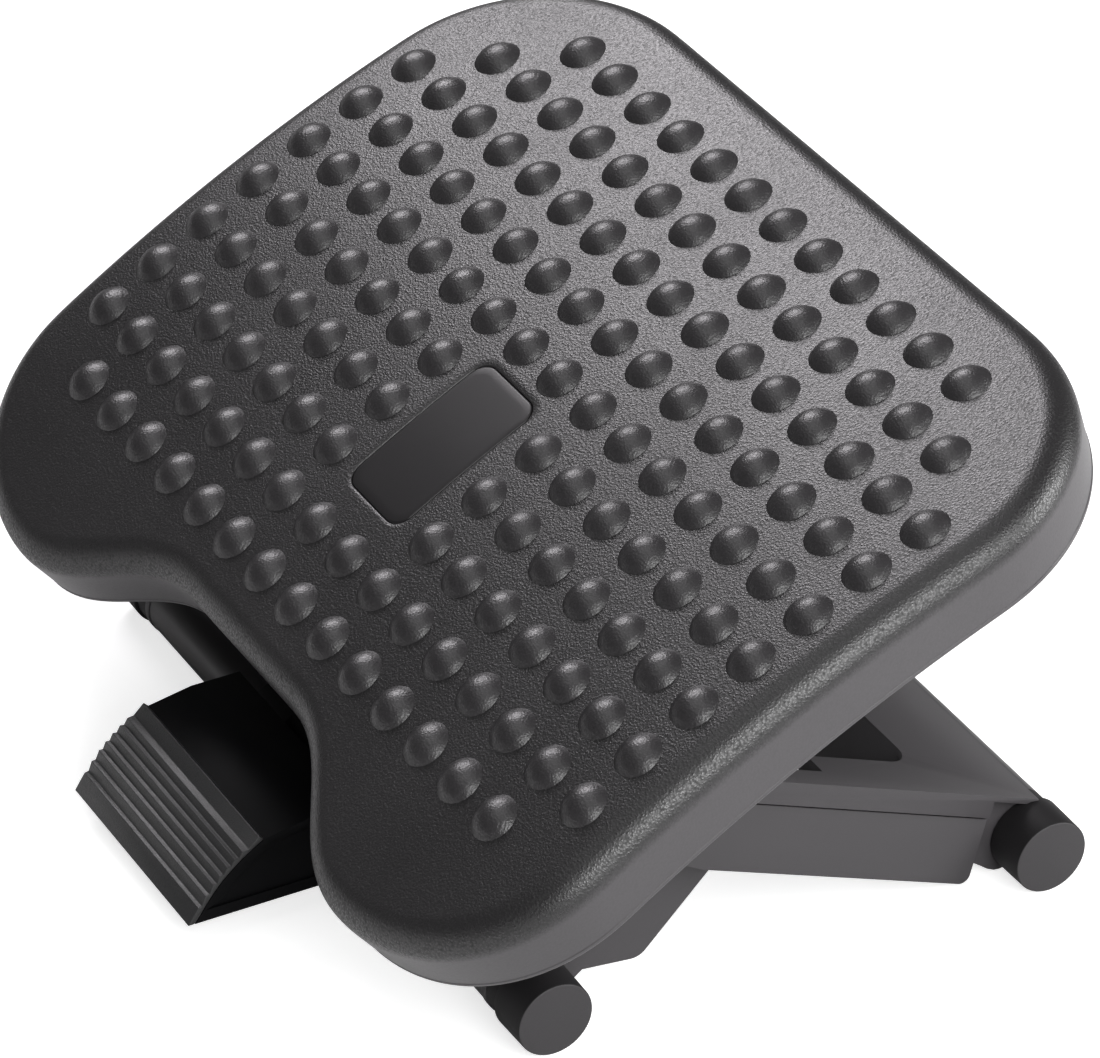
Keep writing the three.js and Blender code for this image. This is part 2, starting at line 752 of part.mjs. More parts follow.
// The toe end of the window has round corners; towards the heel it widens and opens for the inner leg
function windowCutter(low, high) {
  const wideHalfWidth = innerLegHalfWidth + windowLegGap;
  const shape = new THREE.Shape();
  shape.moveTo(-windowHalfWidth, windowWiderFrom);
  shape.lineTo(-wideHalfWidth, windowWiderFrom);
  shape.lineTo(-wideHalfWidth, outerPlateHeel - overrun);
  shape.lineTo(wideHalfWidth, outerPlateHeel - overrun);
  shape.lineTo(wideHalfWidth, windowWiderFrom);
  shape.lineTo(windowHalfWidth, windowWiderFrom);
  shape.lineTo(windowHalfWidth, windowToe - windowCorner);
  shape.absarc(windowHalfWidth - windowCorner, windowToe - windowCorner, windowCorner, 0, Math.PI / 2, false);
  shape.lineTo(windowCorner - windowHalfWidth, windowToe);
  shape.absarc(windowCorner - windowHalfWidth, windowToe - windowCorner, windowCorner, Math.PI / 2, Math.PI, false);
  const geometry = new THREE.ExtrudeGeometry(shape, { depth: high - low, bevelEnabled: false, curveSegments: 6 });
  geometry.translate(0, 0, low);
  return solid(geometry);
}

// Ribs under the plate that clip down over the toe bar and stop just above the floor
function saddleOutline() {
  const sole = (y) => (saddleSole - footRadius + y * Math.sin(outerLegRise)) / Math.cos(outerLegRise);
  const bend = saddleHeel * saddleBendShare;
  const under = -barRadius * saddleUnderShare;
  return outlineFrom([
    [saddleHeel, outerPlateTop - outerPlateThickness / 2],
    [saddleHeel, sole(saddleHeel) * saddleFlareShare],
    [bend, sole(bend)],
    [under, sole(under)],
    [saddleToe, -barRadius * saddleNoseShare],
    [saddleToe, outerPlateTop - outerPlateThickness / 2 - saddleToe],
    [outerPlateToe, outerPlateTop - outerPlateThickness / 2],
  ]);
}

// The side wall goes on round the heel side and the underside of the toe bar
function toeHubOutline() {
  const top = outerPlateTop - outerPlateThickness / 2;
  const round = toeHubShares.map(([y, z]) => [footRadius * y, footRadius * z]);
  return outlineFrom([[toeHubHeel, top], [toeHubHeel, round[0][1]], ...round, [round.at(-1)[0], top]]);
}

// Inner leg frame, in its own frame: y points from the heel foot to the glide bar, z square to that

function fromHeelFoot(y, z) {
  return new THREE.Vector2(y, z).rotateAround(new THREE.Vector2(0, 0), -innerLegRise);
}

function stepToward(start, end, distance) {
  return start.clone().addScaledVector(end.clone().sub(start).normalize(), distance);
}

function innerSideOutline() {
  const sole = innerSoleHeight - footRadius;
  const heelTurn = Math.asin(-sole / innerHeelRound);
  const taperRise = Math.atan2(innerSkirtDrop - glideHubRadius, innerLegLength - innerSkirtTaper);
  const bellyStart = fromHeelFoot(innerBellyStart, innerBellyStartHeight - footRadius);
  const bellyDrop = innerBellyEndHeight - footRadius + innerSkirtDrop * Math.cos(innerLegRise);
  const bellyEnd = new THREE.Vector2(bellyDrop / Math.sin(innerLegRise), -innerSkirtDrop);
  const shape = new THREE.Shape([
    fromHeelFoot(-innerHeelRound * Math.cos(heelTurn), sole),
    fromHeelFoot(innerSoleToe, sole),
    bellyStart,
    stepToward(bellyEnd, bellyStart, innerBellyRound),
  ]);
  shape.quadraticCurveTo(bellyEnd.x, bellyEnd.y, bellyEnd.x + innerBellyRound, -innerSkirtDrop);
  shape.lineTo(innerSkirtTaper, -innerSkirtDrop);
  shape.absarc(innerLegLength, 0, glideHubRadius, taperRise - Math.PI / 2, Math.PI / 2, false);
  shape.lineTo(upperPlateEnd, innerPlateTop);
  shape.lineTo(lowerPlateSpan[0], innerPlateTop);
  shape.absarc(0, 0, innerHeelRound, Math.PI / 2, Math.PI + heelTurn - innerLegRise, false);
  return shape;
}

function springSeat(x) {
  const plateUnder = (innerPlateTop - innerPlateThickness + springY * Math.sin(innerLegRise)) / Math.cos(innerLegRise);
  const high = plateUnder + springSeatRadius * 2;
  const post = uprightPin(springSeatRadius, plateUnder - springSeatDrop, high, x, springY);
  const trim = block(
    x - springSeatRadius * 2, x + springSeatRadius * 2, 0, innerLegLength, innerPlateTop, innerLegLength,
  );
  return post.rotate([-THREE.MathUtils.radToDeg(innerLegRise), 0, 0]).subtract(trim);
}

function makeInnerLeg() {
  const outerX = innerLegHalfWidth;
  const innerX = outerX - innerWall;
  const plateBottom = innerPlateTop - innerPlateThickness;
  const bushRadius = axleRadius + runningGap + bushWall;
  const side = cut(
    sidePlate(innerSideOutline(), innerX, outerX),
    roundBar(bushRadius + seatGap, innerX - overrun, outerX + overrun, axleFromHeel, 0, roundSides),
    roundBar(glideBarRadius + seatGap, innerX - overrun, outerX + overrun, innerLegLength),
    roundBar(spigotRadius + seatGap, innerX - overrun, outerX + overrun, 0, 0, roundSides),
  );
  const lower = block(-innerX - bite, innerX + bite, ...lowerPlateSpan, plateBottom, innerPlateTop);
  const upperStart = upperPlateEnd - upperPlateLength;
  const upper = block(-innerX - bite, innerX + bite, upperStart, upperPlateEnd, plateBottom, innerPlateTop);
  const notch = block(
    -drumNotchHalfWidth, drumNotchHalfWidth, drumNotchStart, lowerPlateSpan[1] + overrun,
    plateBottom - overrun, innerPlateTop + overrun,
  );
  const armSpace = block(
    -armHalfWidth - armGap, armHalfWidth + armGap, 0, armReach, armOffset - drumRadius - armGap, drumRadius * 2,
  );
  const armNotch = armSpace.rotate([THREE.MathUtils.radToDeg(armTurn), 0, 0]);
  return joined(bothSides(side), cut(lower, notch, armNotch), upper, springSeat(springX), springSeat(-springX));
}

function makeBush() {
  const outerX = innerLegHalfWidth;
  const innerX = outerX - innerWall;
  const boreRadius = axleRadius + runningGap;
  const body = joined(
    roundBar(boreRadius + bushWall, innerX - seatGap - bushFlange, outerX, axleFromHeel, 0),
    roundBar(
      boreRadius + bushWall + bushFlangeWall, innerX - seatGap - bushFlange, innerX - seatGap, axleFromHeel, 0,
    ),
  );
  return body.subtract(roundBar(boreRadius, innerX - bushFlange - overrun, outerX + overrun, axleFromHeel, 0));
}

function makeSleeve() {
  const startX = innerLegHalfWidth + seatGap;
  const flangeX = railInnerX + railThickness + runningGap;
  const endX = flangeX + sleeveFlangeThickness;
  const body = joined(
    roundBar(sleeveRadius, startX, endX, innerLegLength),
    roundBar(sleeveRadius + sleeveFlangeWall, flangeX, endX, innerLegLength),
  );
  return body.subtract(roundBar(glideBarRadius + seatGap, startX - overrun, endX + overrun, innerLegLength));
}

// Pedal, in a frame at the heel foot bar's axis that stands level with the floor

function slopePoint(share, lift) {
  const start = new THREE.Vector2(pedalTipY, pedalBottom);
  const end = new THREE.Vector2(pedalCrestY, pedalCrestZ);
  const chord = end.clone().sub(start);
  const normal = chord.clone().rotateAround(new THREE.Vector2(0, 0), Math.PI / 2).normalize();
  const bulge = treadBulge * Math.sin(Math.PI * share);
  return start.addScaledVector(chord, share).addScaledVector(normal, bulge + lift);
}

const slopeSteps = 8;
const slopeShares = Array.from({ length: slopeSteps + 1 }, (_, step) => step / slopeSteps);
const armOffset = drumRadius + runningGap + shoeThickness + seatGap;
const armTurn = Math.asin(drumRadius / axleFromHeel);
const armRise = innerLegRise + armTurn;

function pedalOutline(shrink) {
  const bottom = pedalBottom + shrink;
  const slope = slopeShares
    .map((share) => slopePoint(share, -treadThickness - shrink))
    .filter((point) => point.y > bottom);
  return new THREE.Shape([
    new THREE.Vector2(pedalBackY - shrink, bottom),
    new THREE.Vector2(pedalBackY - shrink, pedalTopZ - shrink),
    new THREE.Vector2(pedalTopY, pedalTopZ - shrink),
    ...slope.toReversed(),
    new THREE.Vector2(Math.min(slope[0].x, pedalTipY + treadThickness + shrink), bottom),
  ]);
}

// The arm's outline is square to the line from the heel bar to where the shoe meets the drum
function pedalArm() {
  const low = armOffset - drumRadius;
  const outline = outlineFrom([
    [0, low],
    [armReach, low],
    [armReach, low + armThickness * armTipShares[1]],
    [armReach - armThickness * armTipShares[0], low + armThickness],
    [armReach * armWaistShare, low + armThickness],
    [barRadius, low + armThickness * armRootShare],
    [-barRadius, low + armThickness * armRootShare],
  ]);
  const body = sidePlate(outline, -armHalfWidth, armHalfWidth);
  return body.rotate([THREE.MathUtils.radToDeg(armRise), 0, 0]);
}

function makePedal() {
  const saddleRadius = barRadius + runningGap + saddleWall;
  const half = pedalHalfWidth;
  const box = sidePlate(pedalOutline(0), -half, half);
  const hollow = sidePlate(pedalOutline(pedalWall), -half + pedalWall, half - pedalWall);
  const mouth = block(
    -half + pedalWall, half - pedalWall, pedalTipY + treadThickness + pedalWall * 3, pedalBackY - pedalWall,
    pedalBottom - overrun, pedalBottom + pedalWall + overrun,
  );
  const panel = sidePlate(pedalOutline(pedalPanelInset), half - pedalPanelDepth, half + overrun);
  const saddle = roundBar(saddleRadius, -half, half, 0, 0, roundSides);
  const floorCut = block(
    -half - overrun, half + overrun, -saddleRadius * 2, saddleRadius * 2, -saddleRadius * 2, pedalBottom,
  );
  const toeCut = block(-half - overrun, half + overrun, 0, saddleRadius * 2, -saddleRadius * 2, 0);
  const tongues = bothSides(block(
    ...tongueXs, barRadius * tongueRootShare, tongueToeY, tongueTop - tongueThickness, tongueTop,
  ));
  const solidPart = joined(cut(box, hollow, mouth), saddle, pedalArm(), tongues);
  return cut(
    solidPart,
    floorCut,
    toeCut,
    roundBar(barRadius + runningGap, -half - overrun, half + overrun, 0, 0, roundSides),
    panel,
    mirrored(panel),
  );
}

function makeTread() {
  const teeth = treadRidgeShares.flatMap((share, tooth) => {
    const next = treadRidgeShares[tooth + 1] ?? 1;
    return [slopePoint(share, 0), slopePoint(share + (next - share) * toothFallShare, -toothDepth)];
  });
  const outer = [slopePoint(0, 0), slopePoint(treadRidgeShares[0] / 2, 0), ...teeth, slopePoint(1, 0)];
  const inner = slopeShares.slice(1).map((share) => slopePoint(share, seatGap - treadThickness));
  inner.unshift(new THREE.Vector2(pedalTipY + treadThickness - seatGap, pedalBottom));
  return sidePlate(new THREE.Shape([...inner, ...outer.toReversed()]), -pedalHalfWidth, pedalHalfWidth);
}

function makeShoe() {
  const face = drumRadius + runningGap;
  const halfTurn = Math.asin(shoeHalfChord / face);
  const shape = new THREE.Shape();
  shape.moveTo(shoeHalfChord, face + shoeThickness);
  shape.lineTo(-shoeHalfChord, face + shoeThickness);
  shape.absarc(0, 0, face, Math.PI / 2 + halfTurn, Math.PI / 2 - halfTurn, true);
  const body = sidePlate(shape, -shoeHalfWidth, shoeHalfWidth, shoeSteps);
  return body.rotate([THREE.MathUtils.radToDeg(armRise), 0, 0]);
}

function makeDrum() {
  const shape = new THREE.Shape();
  shape.absarc(0, 0, drumRadius, 0, Math.PI * 2, false);
  for (let hole = 0; hole < drumHoleCount; hole += 1) {
    const turn = 2 * Math.PI * hole / drumHoleCount;
    const path = new THREE.Path();
    path.absarc(drumHoleCircle * Math.cos(turn), drumHoleCircle * Math.sin(turn), drumHoleRadius, 0, Math.PI * 2);
    shape.holes.push(path);
  }
  const body = sidePlate(shape, -drumHalfWidth, drumHalfWidth, drumSides / 4);
  return body.subtract(roundBar(axleRadius + seatGap, -drumHalfWidth - overrun, drumHalfWidth + overrun));
}

function makeRod(radius, endX) {
  return roundBar(radius, -endX, endX);
}

function makeRodCap(radius) {
  const startX = outerLegHalfWidth + seatGap;
  const endX = startX + rodCapThickness;
  const wide = (radius + rodCapWall) / Math.cos(Math.PI / rodSides);
  const cornerX = endX - rodCapThickness / 2;
  const profile = [[0, startX], [wide, startX], [wide, cornerX], [wide - rodCapThickness / 2, endX], [0, endX]];
  const bore = roundBar(radius + seatGap, startX - overrun, endX - rodCapThickness / 3);
  return turned(profile, rodSides).subtract(bore);
}

function makeSpacer() {
  const startX = innerLegHalfWidth + seatGap;
  const endX = outerLegHalfWidth - outerWall - seatGap;
  return ringAlongX(axleRadius + seatGap, axleRadius + seatGap + rodCapWall, startX, endX, 0, 0);
}

function makeSpring() {
  const bottom = tongueTop + seatGap + springWire / 2;
  const plateUnder = (innerPlateTop - innerPlateThickness + springY * Math.sin(innerLegRise)) / Math.cos(innerLegRise);
  const top = plateUnder - springSeatDrop - seatGap - springWire / 2;
  const points = [];
  const steps = springTurns * springStepsPerTurn;
  for (let step = 0; step <= steps; step += 1) {
    const turn = 2 * Math.PI * step / springStepsPerTurn;
    const z = bottom + (top - bottom) * step / steps;
    points.push(new THREE.Vector3(springCoilRadius * Math.cos(turn), springCoilRadius * Math.sin(turn), z));
  }
  const wire = new THREE.Shape();
  wire.absarc(0, 0, springWire / 2, 0, Math.PI * 2, false);
  const section = new THREE.Shape(wire.getSpacedPoints(springSides).slice(0, springSides));
  const path = new THREE.CatmullRomCurve3(points);
  const geometry = new THREE.ExtrudeGeometry(section, { steps, bevelEnabled: false, extrudePath: path });
  return solid(geometry);
}

// Assembly

function sidePair(name, body, colour, roughness, metalness) {
  return [
    piece(`${name}_right`, body, colour, roughness, metalness),
    piece(`${name}_left`, mirrored(body), colour, roughness, metalness),
  ];
}

function groupAt(y, z, lean, ...meshes) {
  const group = new THREE.Group();
  group.position.set(0, y, z);
  group.rotation.x = lean;
  group.add(...meshes);
  return group;
}

const deckGroup = groupAt(
  0, deckHeight, deckTilt,
  piece('deck_shell', makeDeckShell(), deckColour, 0.62),
  piece('centre_plate', plateSlab(0, -plateThickness, 0), plasticColour, 0.45),
  ...sidePair('deck_rail', makeDeckRail(), steelColour, 0.5, 0.6),
  ...railTabPlaces.flatMap((place, order) => (
    sidePair(`rail_screw_${order + 1}`, makeRailScrew(place), steelColour, 0.35, 0.9)
  )),
);

const outerGroup = groupAt(
  toeFoot.x, toeFoot.y, -outerLegRise,
  piece('outer_leg_frame', makeOuterLeg(), legColour, 0.6),
);

const hingeGroup = groupAt(
  hinge.x, hinge.y, 0,
  piece('hinge_rod', makeRod(hingeRodRadius, outerLegHalfWidth + seatGap + rodCapThickness / 2), steelColour, 0.35, 0.9),
  ...sidePair('hinge_rod_cap', makeRodCap(hingeRodRadius), blackColour, 0.5),
);

const axleGroup = groupAt(
  axle.x, axle.y, 0,
  piece('cross_axle', makeRod(axleRadius, outerLegHalfWidth + seatGap + rodCapThickness / 2), steelColour, 0.35, 0.9),
  piece('lock_drum', makeDrum(), blackColour, 0.55),
  piece('brake_shoe', makeShoe(), rubberColour, 0.8),
  ...sidePair('cross_axle_cap', makeRodCap(axleRadius), blackColour, 0.5),
  ...sidePair('axle_spacer', makeSpacer(), blackColour, 0.5),
);

const innerGroup = groupAt(
  heelFoot.x, heelFoot.y, innerLegRise,
  piece('inner_leg_frame', makeInnerLeg(), legColour, 0.6),
  ...sidePair('axle_bush', makeBush(), blackColour, 0.45),
  piece(
    'glide_bar',
    roundBar(glideBarRadius, -railInnerX - railThickness, railInnerX + railThickness, innerLegLength),
    steelColour, 0.35, 0.9,
  ),
  ...sidePair('glide_sleeve', makeSleeve(), blackColour, 0.4),
);

const pedalGroup = groupAt(
  heelFoot.x, heelFoot.y, 0,
  piece('pedal', makePedal(), blackColour, 0.5),
  piece('pedal_tread', makeTread(), rubberColour, 0.75),
);

[springX, -springX].forEach((x, order) => {
  const spring = piece(`return_spring_${order === 0 ? 'right' : 'left'}`, makeSpring(), steelColour, 0.3, 0.9);
  spring.position.set(x, springY, 0);
  pedalGroup.add(spring);
});

const feet = groupAt(
  0, 0, 0,
  piece('toe_foot_bar', makeFootBar(toeFoot, neckStartX - seatGap), legColour, 0.6),
  piece('heel_foot_bar', makeFootBar(heelFoot, innerLegHalfWidth - innerWall - seatGap), legColour, 0.6),
  ...sidePair('toe_foot_cap', makeFootCap(toeFoot), rubberColour, 0.7),
  ...sidePair('heel_foot_cap', makeFootCap(heelFoot), rubberColour, 0.7),
);

const footrest = new THREE.Group();
footrest.add(deckGroup, outerGroup, hingeGroup, axleGroup, innerGroup, pedalGroup, feet);

// The origin is on the floor, under the middle of the whole part
footrest.updateMatrixWorld(true);
const reach = new THREE.Box3().setFromObject(footrest, true);
const originY = (reach.min.y + reach.max.y) / 2;
footrest.position.y = -originY;
footrest.userData = {
  hinge: [hinge.x - originY, hinge.y],
  axle: [axle.x - originY, axle.y],
  heelFoot: [heelFoot.x - originY, heelFoot.y],
  toeFoot: [toeFoot.x - originY, toeFoot.y],
  glide: [glide.x - originY, glide.y],
};

export default footrest;
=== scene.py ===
import bmesh
import bpy
import numpy as np
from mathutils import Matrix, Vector


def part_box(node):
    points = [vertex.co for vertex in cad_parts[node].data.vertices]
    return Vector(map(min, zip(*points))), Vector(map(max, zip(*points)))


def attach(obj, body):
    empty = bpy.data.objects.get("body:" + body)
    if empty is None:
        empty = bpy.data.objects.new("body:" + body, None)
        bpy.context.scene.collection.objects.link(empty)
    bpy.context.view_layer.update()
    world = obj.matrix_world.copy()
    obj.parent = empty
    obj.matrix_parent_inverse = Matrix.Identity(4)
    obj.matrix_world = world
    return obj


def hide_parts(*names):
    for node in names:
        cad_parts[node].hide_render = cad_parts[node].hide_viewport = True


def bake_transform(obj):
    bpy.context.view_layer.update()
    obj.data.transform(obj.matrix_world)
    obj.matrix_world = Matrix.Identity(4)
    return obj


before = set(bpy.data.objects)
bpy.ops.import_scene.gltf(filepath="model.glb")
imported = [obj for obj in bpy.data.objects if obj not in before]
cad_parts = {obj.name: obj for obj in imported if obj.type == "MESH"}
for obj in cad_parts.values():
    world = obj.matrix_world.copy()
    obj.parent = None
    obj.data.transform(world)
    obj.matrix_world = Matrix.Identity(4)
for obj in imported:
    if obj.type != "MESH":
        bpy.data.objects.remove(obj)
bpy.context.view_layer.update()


# Camera and studio
# A long lens looks down on the toe end, over a pale floor. Soft boxes light the near side and its rim, one
# behind the far side lays a sheen over the deck's toe half, and cards fill in from above and the toe side.
SKY_GLOW = 0.10
SKY_GLOW_ADDED_IN_GLOSS = 0.05
FLOOR_REACH = 6
FLOOR_COLOUR = (0.8, 0.8, 0.8, 1)
FLOOR_LIFT = 0.7

scene = bpy.context.scene
scene.view_settings.view_transform = "Standard"

camera_data = bpy.data.cameras.new("camera")
camera_data.sensor_width = 36
camera_data.lens = 197.325
camera_data.clip_end = 20
camera = bpy.data.objects.new("camera", camera_data)
camera.location = (1.765808, -0.954124, 1.400984)
camera.rotation_euler = (1.0005979, -0.0061579, 1.0698125)
scene.collection.objects.link(camera)
scene.camera = camera


def soft_box(name, place, aim, size, power, colour=(1, 1, 1)):
    """A rectangular area light at a place, turned to face the aim point."""
    lamp = bpy.data.lights.new(name, "AREA")
    lamp.shape = "RECTANGLE"
    lamp.size = size[0]
    lamp.size_y = size[1]
    lamp.energy = power
    lamp.color = colour
    holder = bpy.data.objects.new(name, lamp)
    holder.location = place
    holder.rotation_euler = (Vector(aim) - Vector(place)).to_track_quat("-Z", "Y").to_euler()
    scene.collection.objects.link(holder)


soft_box("near_box", place=(2.49, -0.23, 1.60), aim=(0, 0, 0.15), size=(2.4, 2.0), power=71)
soft_box("rim_box", place=(1.72, -0.20, 1.17), aim=(0, 0, 0.18), size=(0.55, 0.55), power=3)
soft_box(
    "sheen_box",
    place=(-1.53, 0.27, 1.45),
    aim=(0, 0.03, 0.19),
    size=(0.95, 0.8),
    power=20,
    colour=(1, 0.965, 1),
)
soft_box("top_card", place=(-0.05, -0.45, 1.90), aim=(0, 0, 0.18), size=(1.4, 1.5), power=6)
soft_box("toe_card", place=(1.10, 1.70, 1.00), aim=(0, 0, 0.15), size=(1.2, 1.0), power=34)

world = bpy.data.worlds.new("studio")
scene.world = world
world.use_nodes = True
sky = world.node_tree
sky.nodes.clear()
sky_out = sky.nodes.new("ShaderNodeOutputWorld")
sky_light = sky.nodes.new("ShaderNodeBackground")
sky_path = sky.nodes.new("ShaderNodeLightPath")
sky_glossy = sky.nodes.new("ShaderNodeMath")
sky_glossy.operation = "MULTIPLY_ADD"
sky_glossy.inputs[1].default_value = SKY_GLOW_ADDED_IN_GLOSS
sky_glossy.inputs[2].default_value = SKY_GLOW
sky_shown = sky.nodes.new("ShaderNodeMath")
sky_shown.operation = "MAXIMUM"
sky.links.new(sky_path.outputs["Is Glossy Ray"], sky_glossy.inputs[0])
sky.links.new(sky_glossy.outputs[0], sky_shown.inputs[0])
sky.links.new(sky_path.outputs["Is Camera Ray"], sky_shown.inputs[1])
sky.links.new(sky_shown.outputs[0], sky_light.inputs["Strength"])
sky.links.new(sky_light.outputs[0], sky_out.inputs[0])

floor_mesh = bpy.data.meshes.new("floor")
floor_corners = [(x * FLOOR_REACH, y * FLOOR_REACH, 0) for x, y in ((-1, -1), (1, -1), (1, 1), (-1, 1))]
floor_mesh.from_pydata(floor_corners, [], [(0, 1, 2, 3)])
floor = bpy.data.objects.new("floor", floor_mesh)
scene.collection.objects.link(floor)
floor_paint = bpy.data.materials.new("pale_floor")
floor_paint.use_nodes = True
paper = floor_paint.node_tree
paper.nodes.clear()
paper_out = paper.nodes.new("ShaderNodeOutputMaterial")
paper_base = paper.nodes.new("ShaderNodeBsdfDiffuse")
paper_base.inputs["Color"].default_value = FLOOR_COLOUR
paper_glow = paper.nodes.new("ShaderNodeEmission")
paper_path = paper.nodes.new("ShaderNodeLightPath")
paper_lift = paper.nodes.new("ShaderNodeMath")
paper_lift.operation = "MULTIPLY"
paper_lift.inputs[1].default_value = FLOOR_LIFT
paper_sum = paper.nodes.new("ShaderNodeAddShader")
paper.links.new(paper_path.outputs["Is Camera Ray"], paper_lift.inputs[0])
paper.links.new(paper_lift.outputs[0], paper_glow.inputs["Strength"])
paper.links.new(paper_base.outputs[0], paper_sum.inputs[0])
paper.links.new(paper_glow.outputs[0], paper_sum.inputs[1])
paper.links.new(paper_sum.outputs[0], paper_out.inputs["Surface"])
floor_mesh.materials.append(floor_paint)


# Deck shell
# One shell of charcoal polypropylene, moulded over an arc, with a rolled rim, a straight toe edge, two heel
# lobes and a scallop between them. Ribs and screw posts stiffen it below, and its face is pebbled.
DECK_TILT = np.radians(27.15)
DECK_RADIUS = 0.853
DECK_CENTRE = np.array([0.0, 0.0060, 0.1797])
HALF_WIDTH = 0.230
TOE_REACH = 0.160
TOE_CORNER = (0.095, 0.085)
HEEL_REACH = 0.191
LOBE_X = 0.140
LOBE_DEPTH = 0.080
SCALLOP_REACH = 0.151
SCALLOP_HALF = 0.045
SCALLOP_SWAY = 0.42
CURVE_POINTS = 90
SIDES = 480
FINER_BY = 4
SOFTENING_REACH = 9
PLATE_ARC = -0.0375
PLATE_HALF = (0.0215, 0.036)
PLATE_CORNER = 0.008
MILLIMETRE = 0.001


def on_deck(x, arc, height):
    """World points of the deck: turn = arc / radius; y' = (radius + height) sin(turn),
    z' = (radius + height) cos(turn) - radius; (y', z') is turned by the tilt and moved to the centre."""
    x, arc, height = np.broadcast_arrays(x, arc, height)
    turn = arc / DECK_RADIUS
    y = (DECK_RADIUS + height) * np.sin(turn)
    z = (DECK_RADIUS + height) * np.cos(turn) - DECK_RADIUS
    c, s = np.cos(DECK_TILT), np.sin(DECK_TILT)
    return np.stack([x, y * c - z * s, y * s + z * c], -1) + DECK_CENTRE


def even_loop(points, count):
    """A closed line of points, read again at even steps of its length."""
    closed = np.vstack([points, points[:1]])
    run = np.r_[0, np.cumsum(np.hypot(*np.diff(closed, axis=0).T))]
    at = np.arange(count) / count * run[-1]
    return np.stack([np.interp(at, run, closed[:, 0]), np.interp(at, run, closed[:, 1])], -1)


def ellipse_arc(centre, radii, start, end):
    """Points centre + (rx cos a, ry sin a) for a from start to end, in quarter turns."""
    a = np.linspace(start, end, CURVE_POINTS) * np.pi / 2
    return np.stack([centre[0] + radii[0] * np.cos(a), centre[1] + radii[1] * np.sin(a)], -1)


def deck_outline(count):
    """The outline seen square to the deck, counter-clockwise: the scallop's flat, a cubic sway
    p = (1-t)^3 a + 3(1-t)^2 t b + 3(1-t) t^2 c + t^3 d to the lobe, a quarter ellipse round the lobe, the
    side, the toe corner, and all of it mirrored. A running mean of the points then softens the joints."""
    sway = (LOBE_X - SCALLOP_HALF) * SCALLOP_SWAY
    t = np.linspace(0, 1, CURVE_POINTS)[:, None]
    a, d = np.array([SCALLOP_HALF, -SCALLOP_REACH]), np.array([LOBE_X, -HEEL_REACH])
    b, c = a + [sway, 0], d - [sway, 0]
    sweep = (1 - t) ** 3 * a + 3 * (1 - t) ** 2 * t * b + 3 * (1 - t) * t**2 * c + t**3 * d
    lobe = ellipse_arc((LOBE_X, LOBE_DEPTH - HEEL_REACH), (HALF_WIDTH - LOBE_X, LOBE_DEPTH), -1, 0)
    toe = ellipse_arc((HALF_WIDTH - TOE_CORNER[0], TOE_REACH - TOE_CORNER[1]), TOE_CORNER, 0, 1)
    right = np.vstack([sweep, lobe[1:], toe])
    left = right[::-1] * [-1, 1]
    loop = even_loop(np.vstack([right, left]), count * FINER_BY)
    shifts = range(-SOFTENING_REACH, SOFTENING_REACH + 1)
    return even_loop(sum(np.roll(loop, k, axis=0) for k in shifts) / len(shifts), count)


def inward(loop, distance):
    """The loop moved towards its inside, square to its own line."""
    along = np.roll(loop, -1, axis=0) - np.roll(loop, 1, axis=0)
    normal = np.stack([-along[:, 1], along[:, 0]], -1) / np.hypot(*along.T)[:, None]
    return loop + normal * distance


def fine_line(knots, steps):
    """A smooth open line through knots a, b, c, d, by Catmull and Rom:
    p = 0.5 (2b + (c-a) t + (2a-5b+4c-d) t^2 + (3b-a-3c+d) t^3)."""
    k = np.array(knots, float)
    k = np.vstack([2 * k[0] - k[1], k, 2 * k[-1] - k[-2]])
    t = (np.arange(steps) / steps)[:, None]
    a, b, c, d = k[:-3, None], k[1:-2, None], k[2:-1, None], k[3:, None]
    line = 0.5 * (2 * b + (c - a) * t + (2 * a - 5 * b + 4 * c - d) * t**2 + (3 * b - a - 3 * c + d) * t**3)
    return np.vstack([line.reshape(-1, k.shape[1]), k[-2]])


def plate_loop(like, grow):
    """A rounded rectangle round the centre plate, met by the rays from its middle to each point of a loop.
    With q = |ray| * t, the edge is where q meets the straight sides, or the corner circle between them."""
    ray = like - [0, PLATE_ARC]
    ray = ray / np.hypot(*ray.T)[:, None]
    half = np.array(PLATE_HALF) + grow
    corner = PLATE_CORNER + grow
    side = (half / np.maximum(np.abs(ray), 1e-9)).min(1)
    inner = half - corner
    dot = np.abs(ray) @ inner
    bend = dot + np.sqrt(np.maximum(dot**2 - (inner @ inner - corner**2), 0))
    hit = np.abs(ray) * side[:, None]
    in_corner = (hit > inner).all(1)
    return np.where(in_corner, bend, side)[:, None] * ray + [0, PLATE_ARC]


def plate_ring(grow, height):
    """The plate's outline, grown by a distance, at a height: (x, arc, height) for each side."""
    return np.c_[plate_loop(outline, grow), np.full(SIDES, height)]


def plate_middle(height):
    """The plate's middle at a height, once for each side."""
    return np.tile([0, PLATE_ARC, height], (SIDES, 1))


def between(inner, outer, shares):
    """Rings inner + (outer - inner) share."""
    return [inner + (outer - inner) * share for share in shares]


def new_piece(name, points, faces, smooth_angle=None):
    """A mesh object at the origin from world points and index rows, smooth up to an angle in degrees."""
    mesh = bpy.data.meshes.new(name)
    mesh.from_pydata(points, [], faces)
    mesh.validate()
    mesh.polygons.foreach_set("use_smooth", np.ones(len(mesh.polygons), bool))
    if smooth_angle is not None:
        mesh.set_sharp_from_angle(angle=np.radians(smooth_angle))
    piece = bpy.data.objects.new(name, mesh)
    scene.collection.objects.link(piece)
    return piece


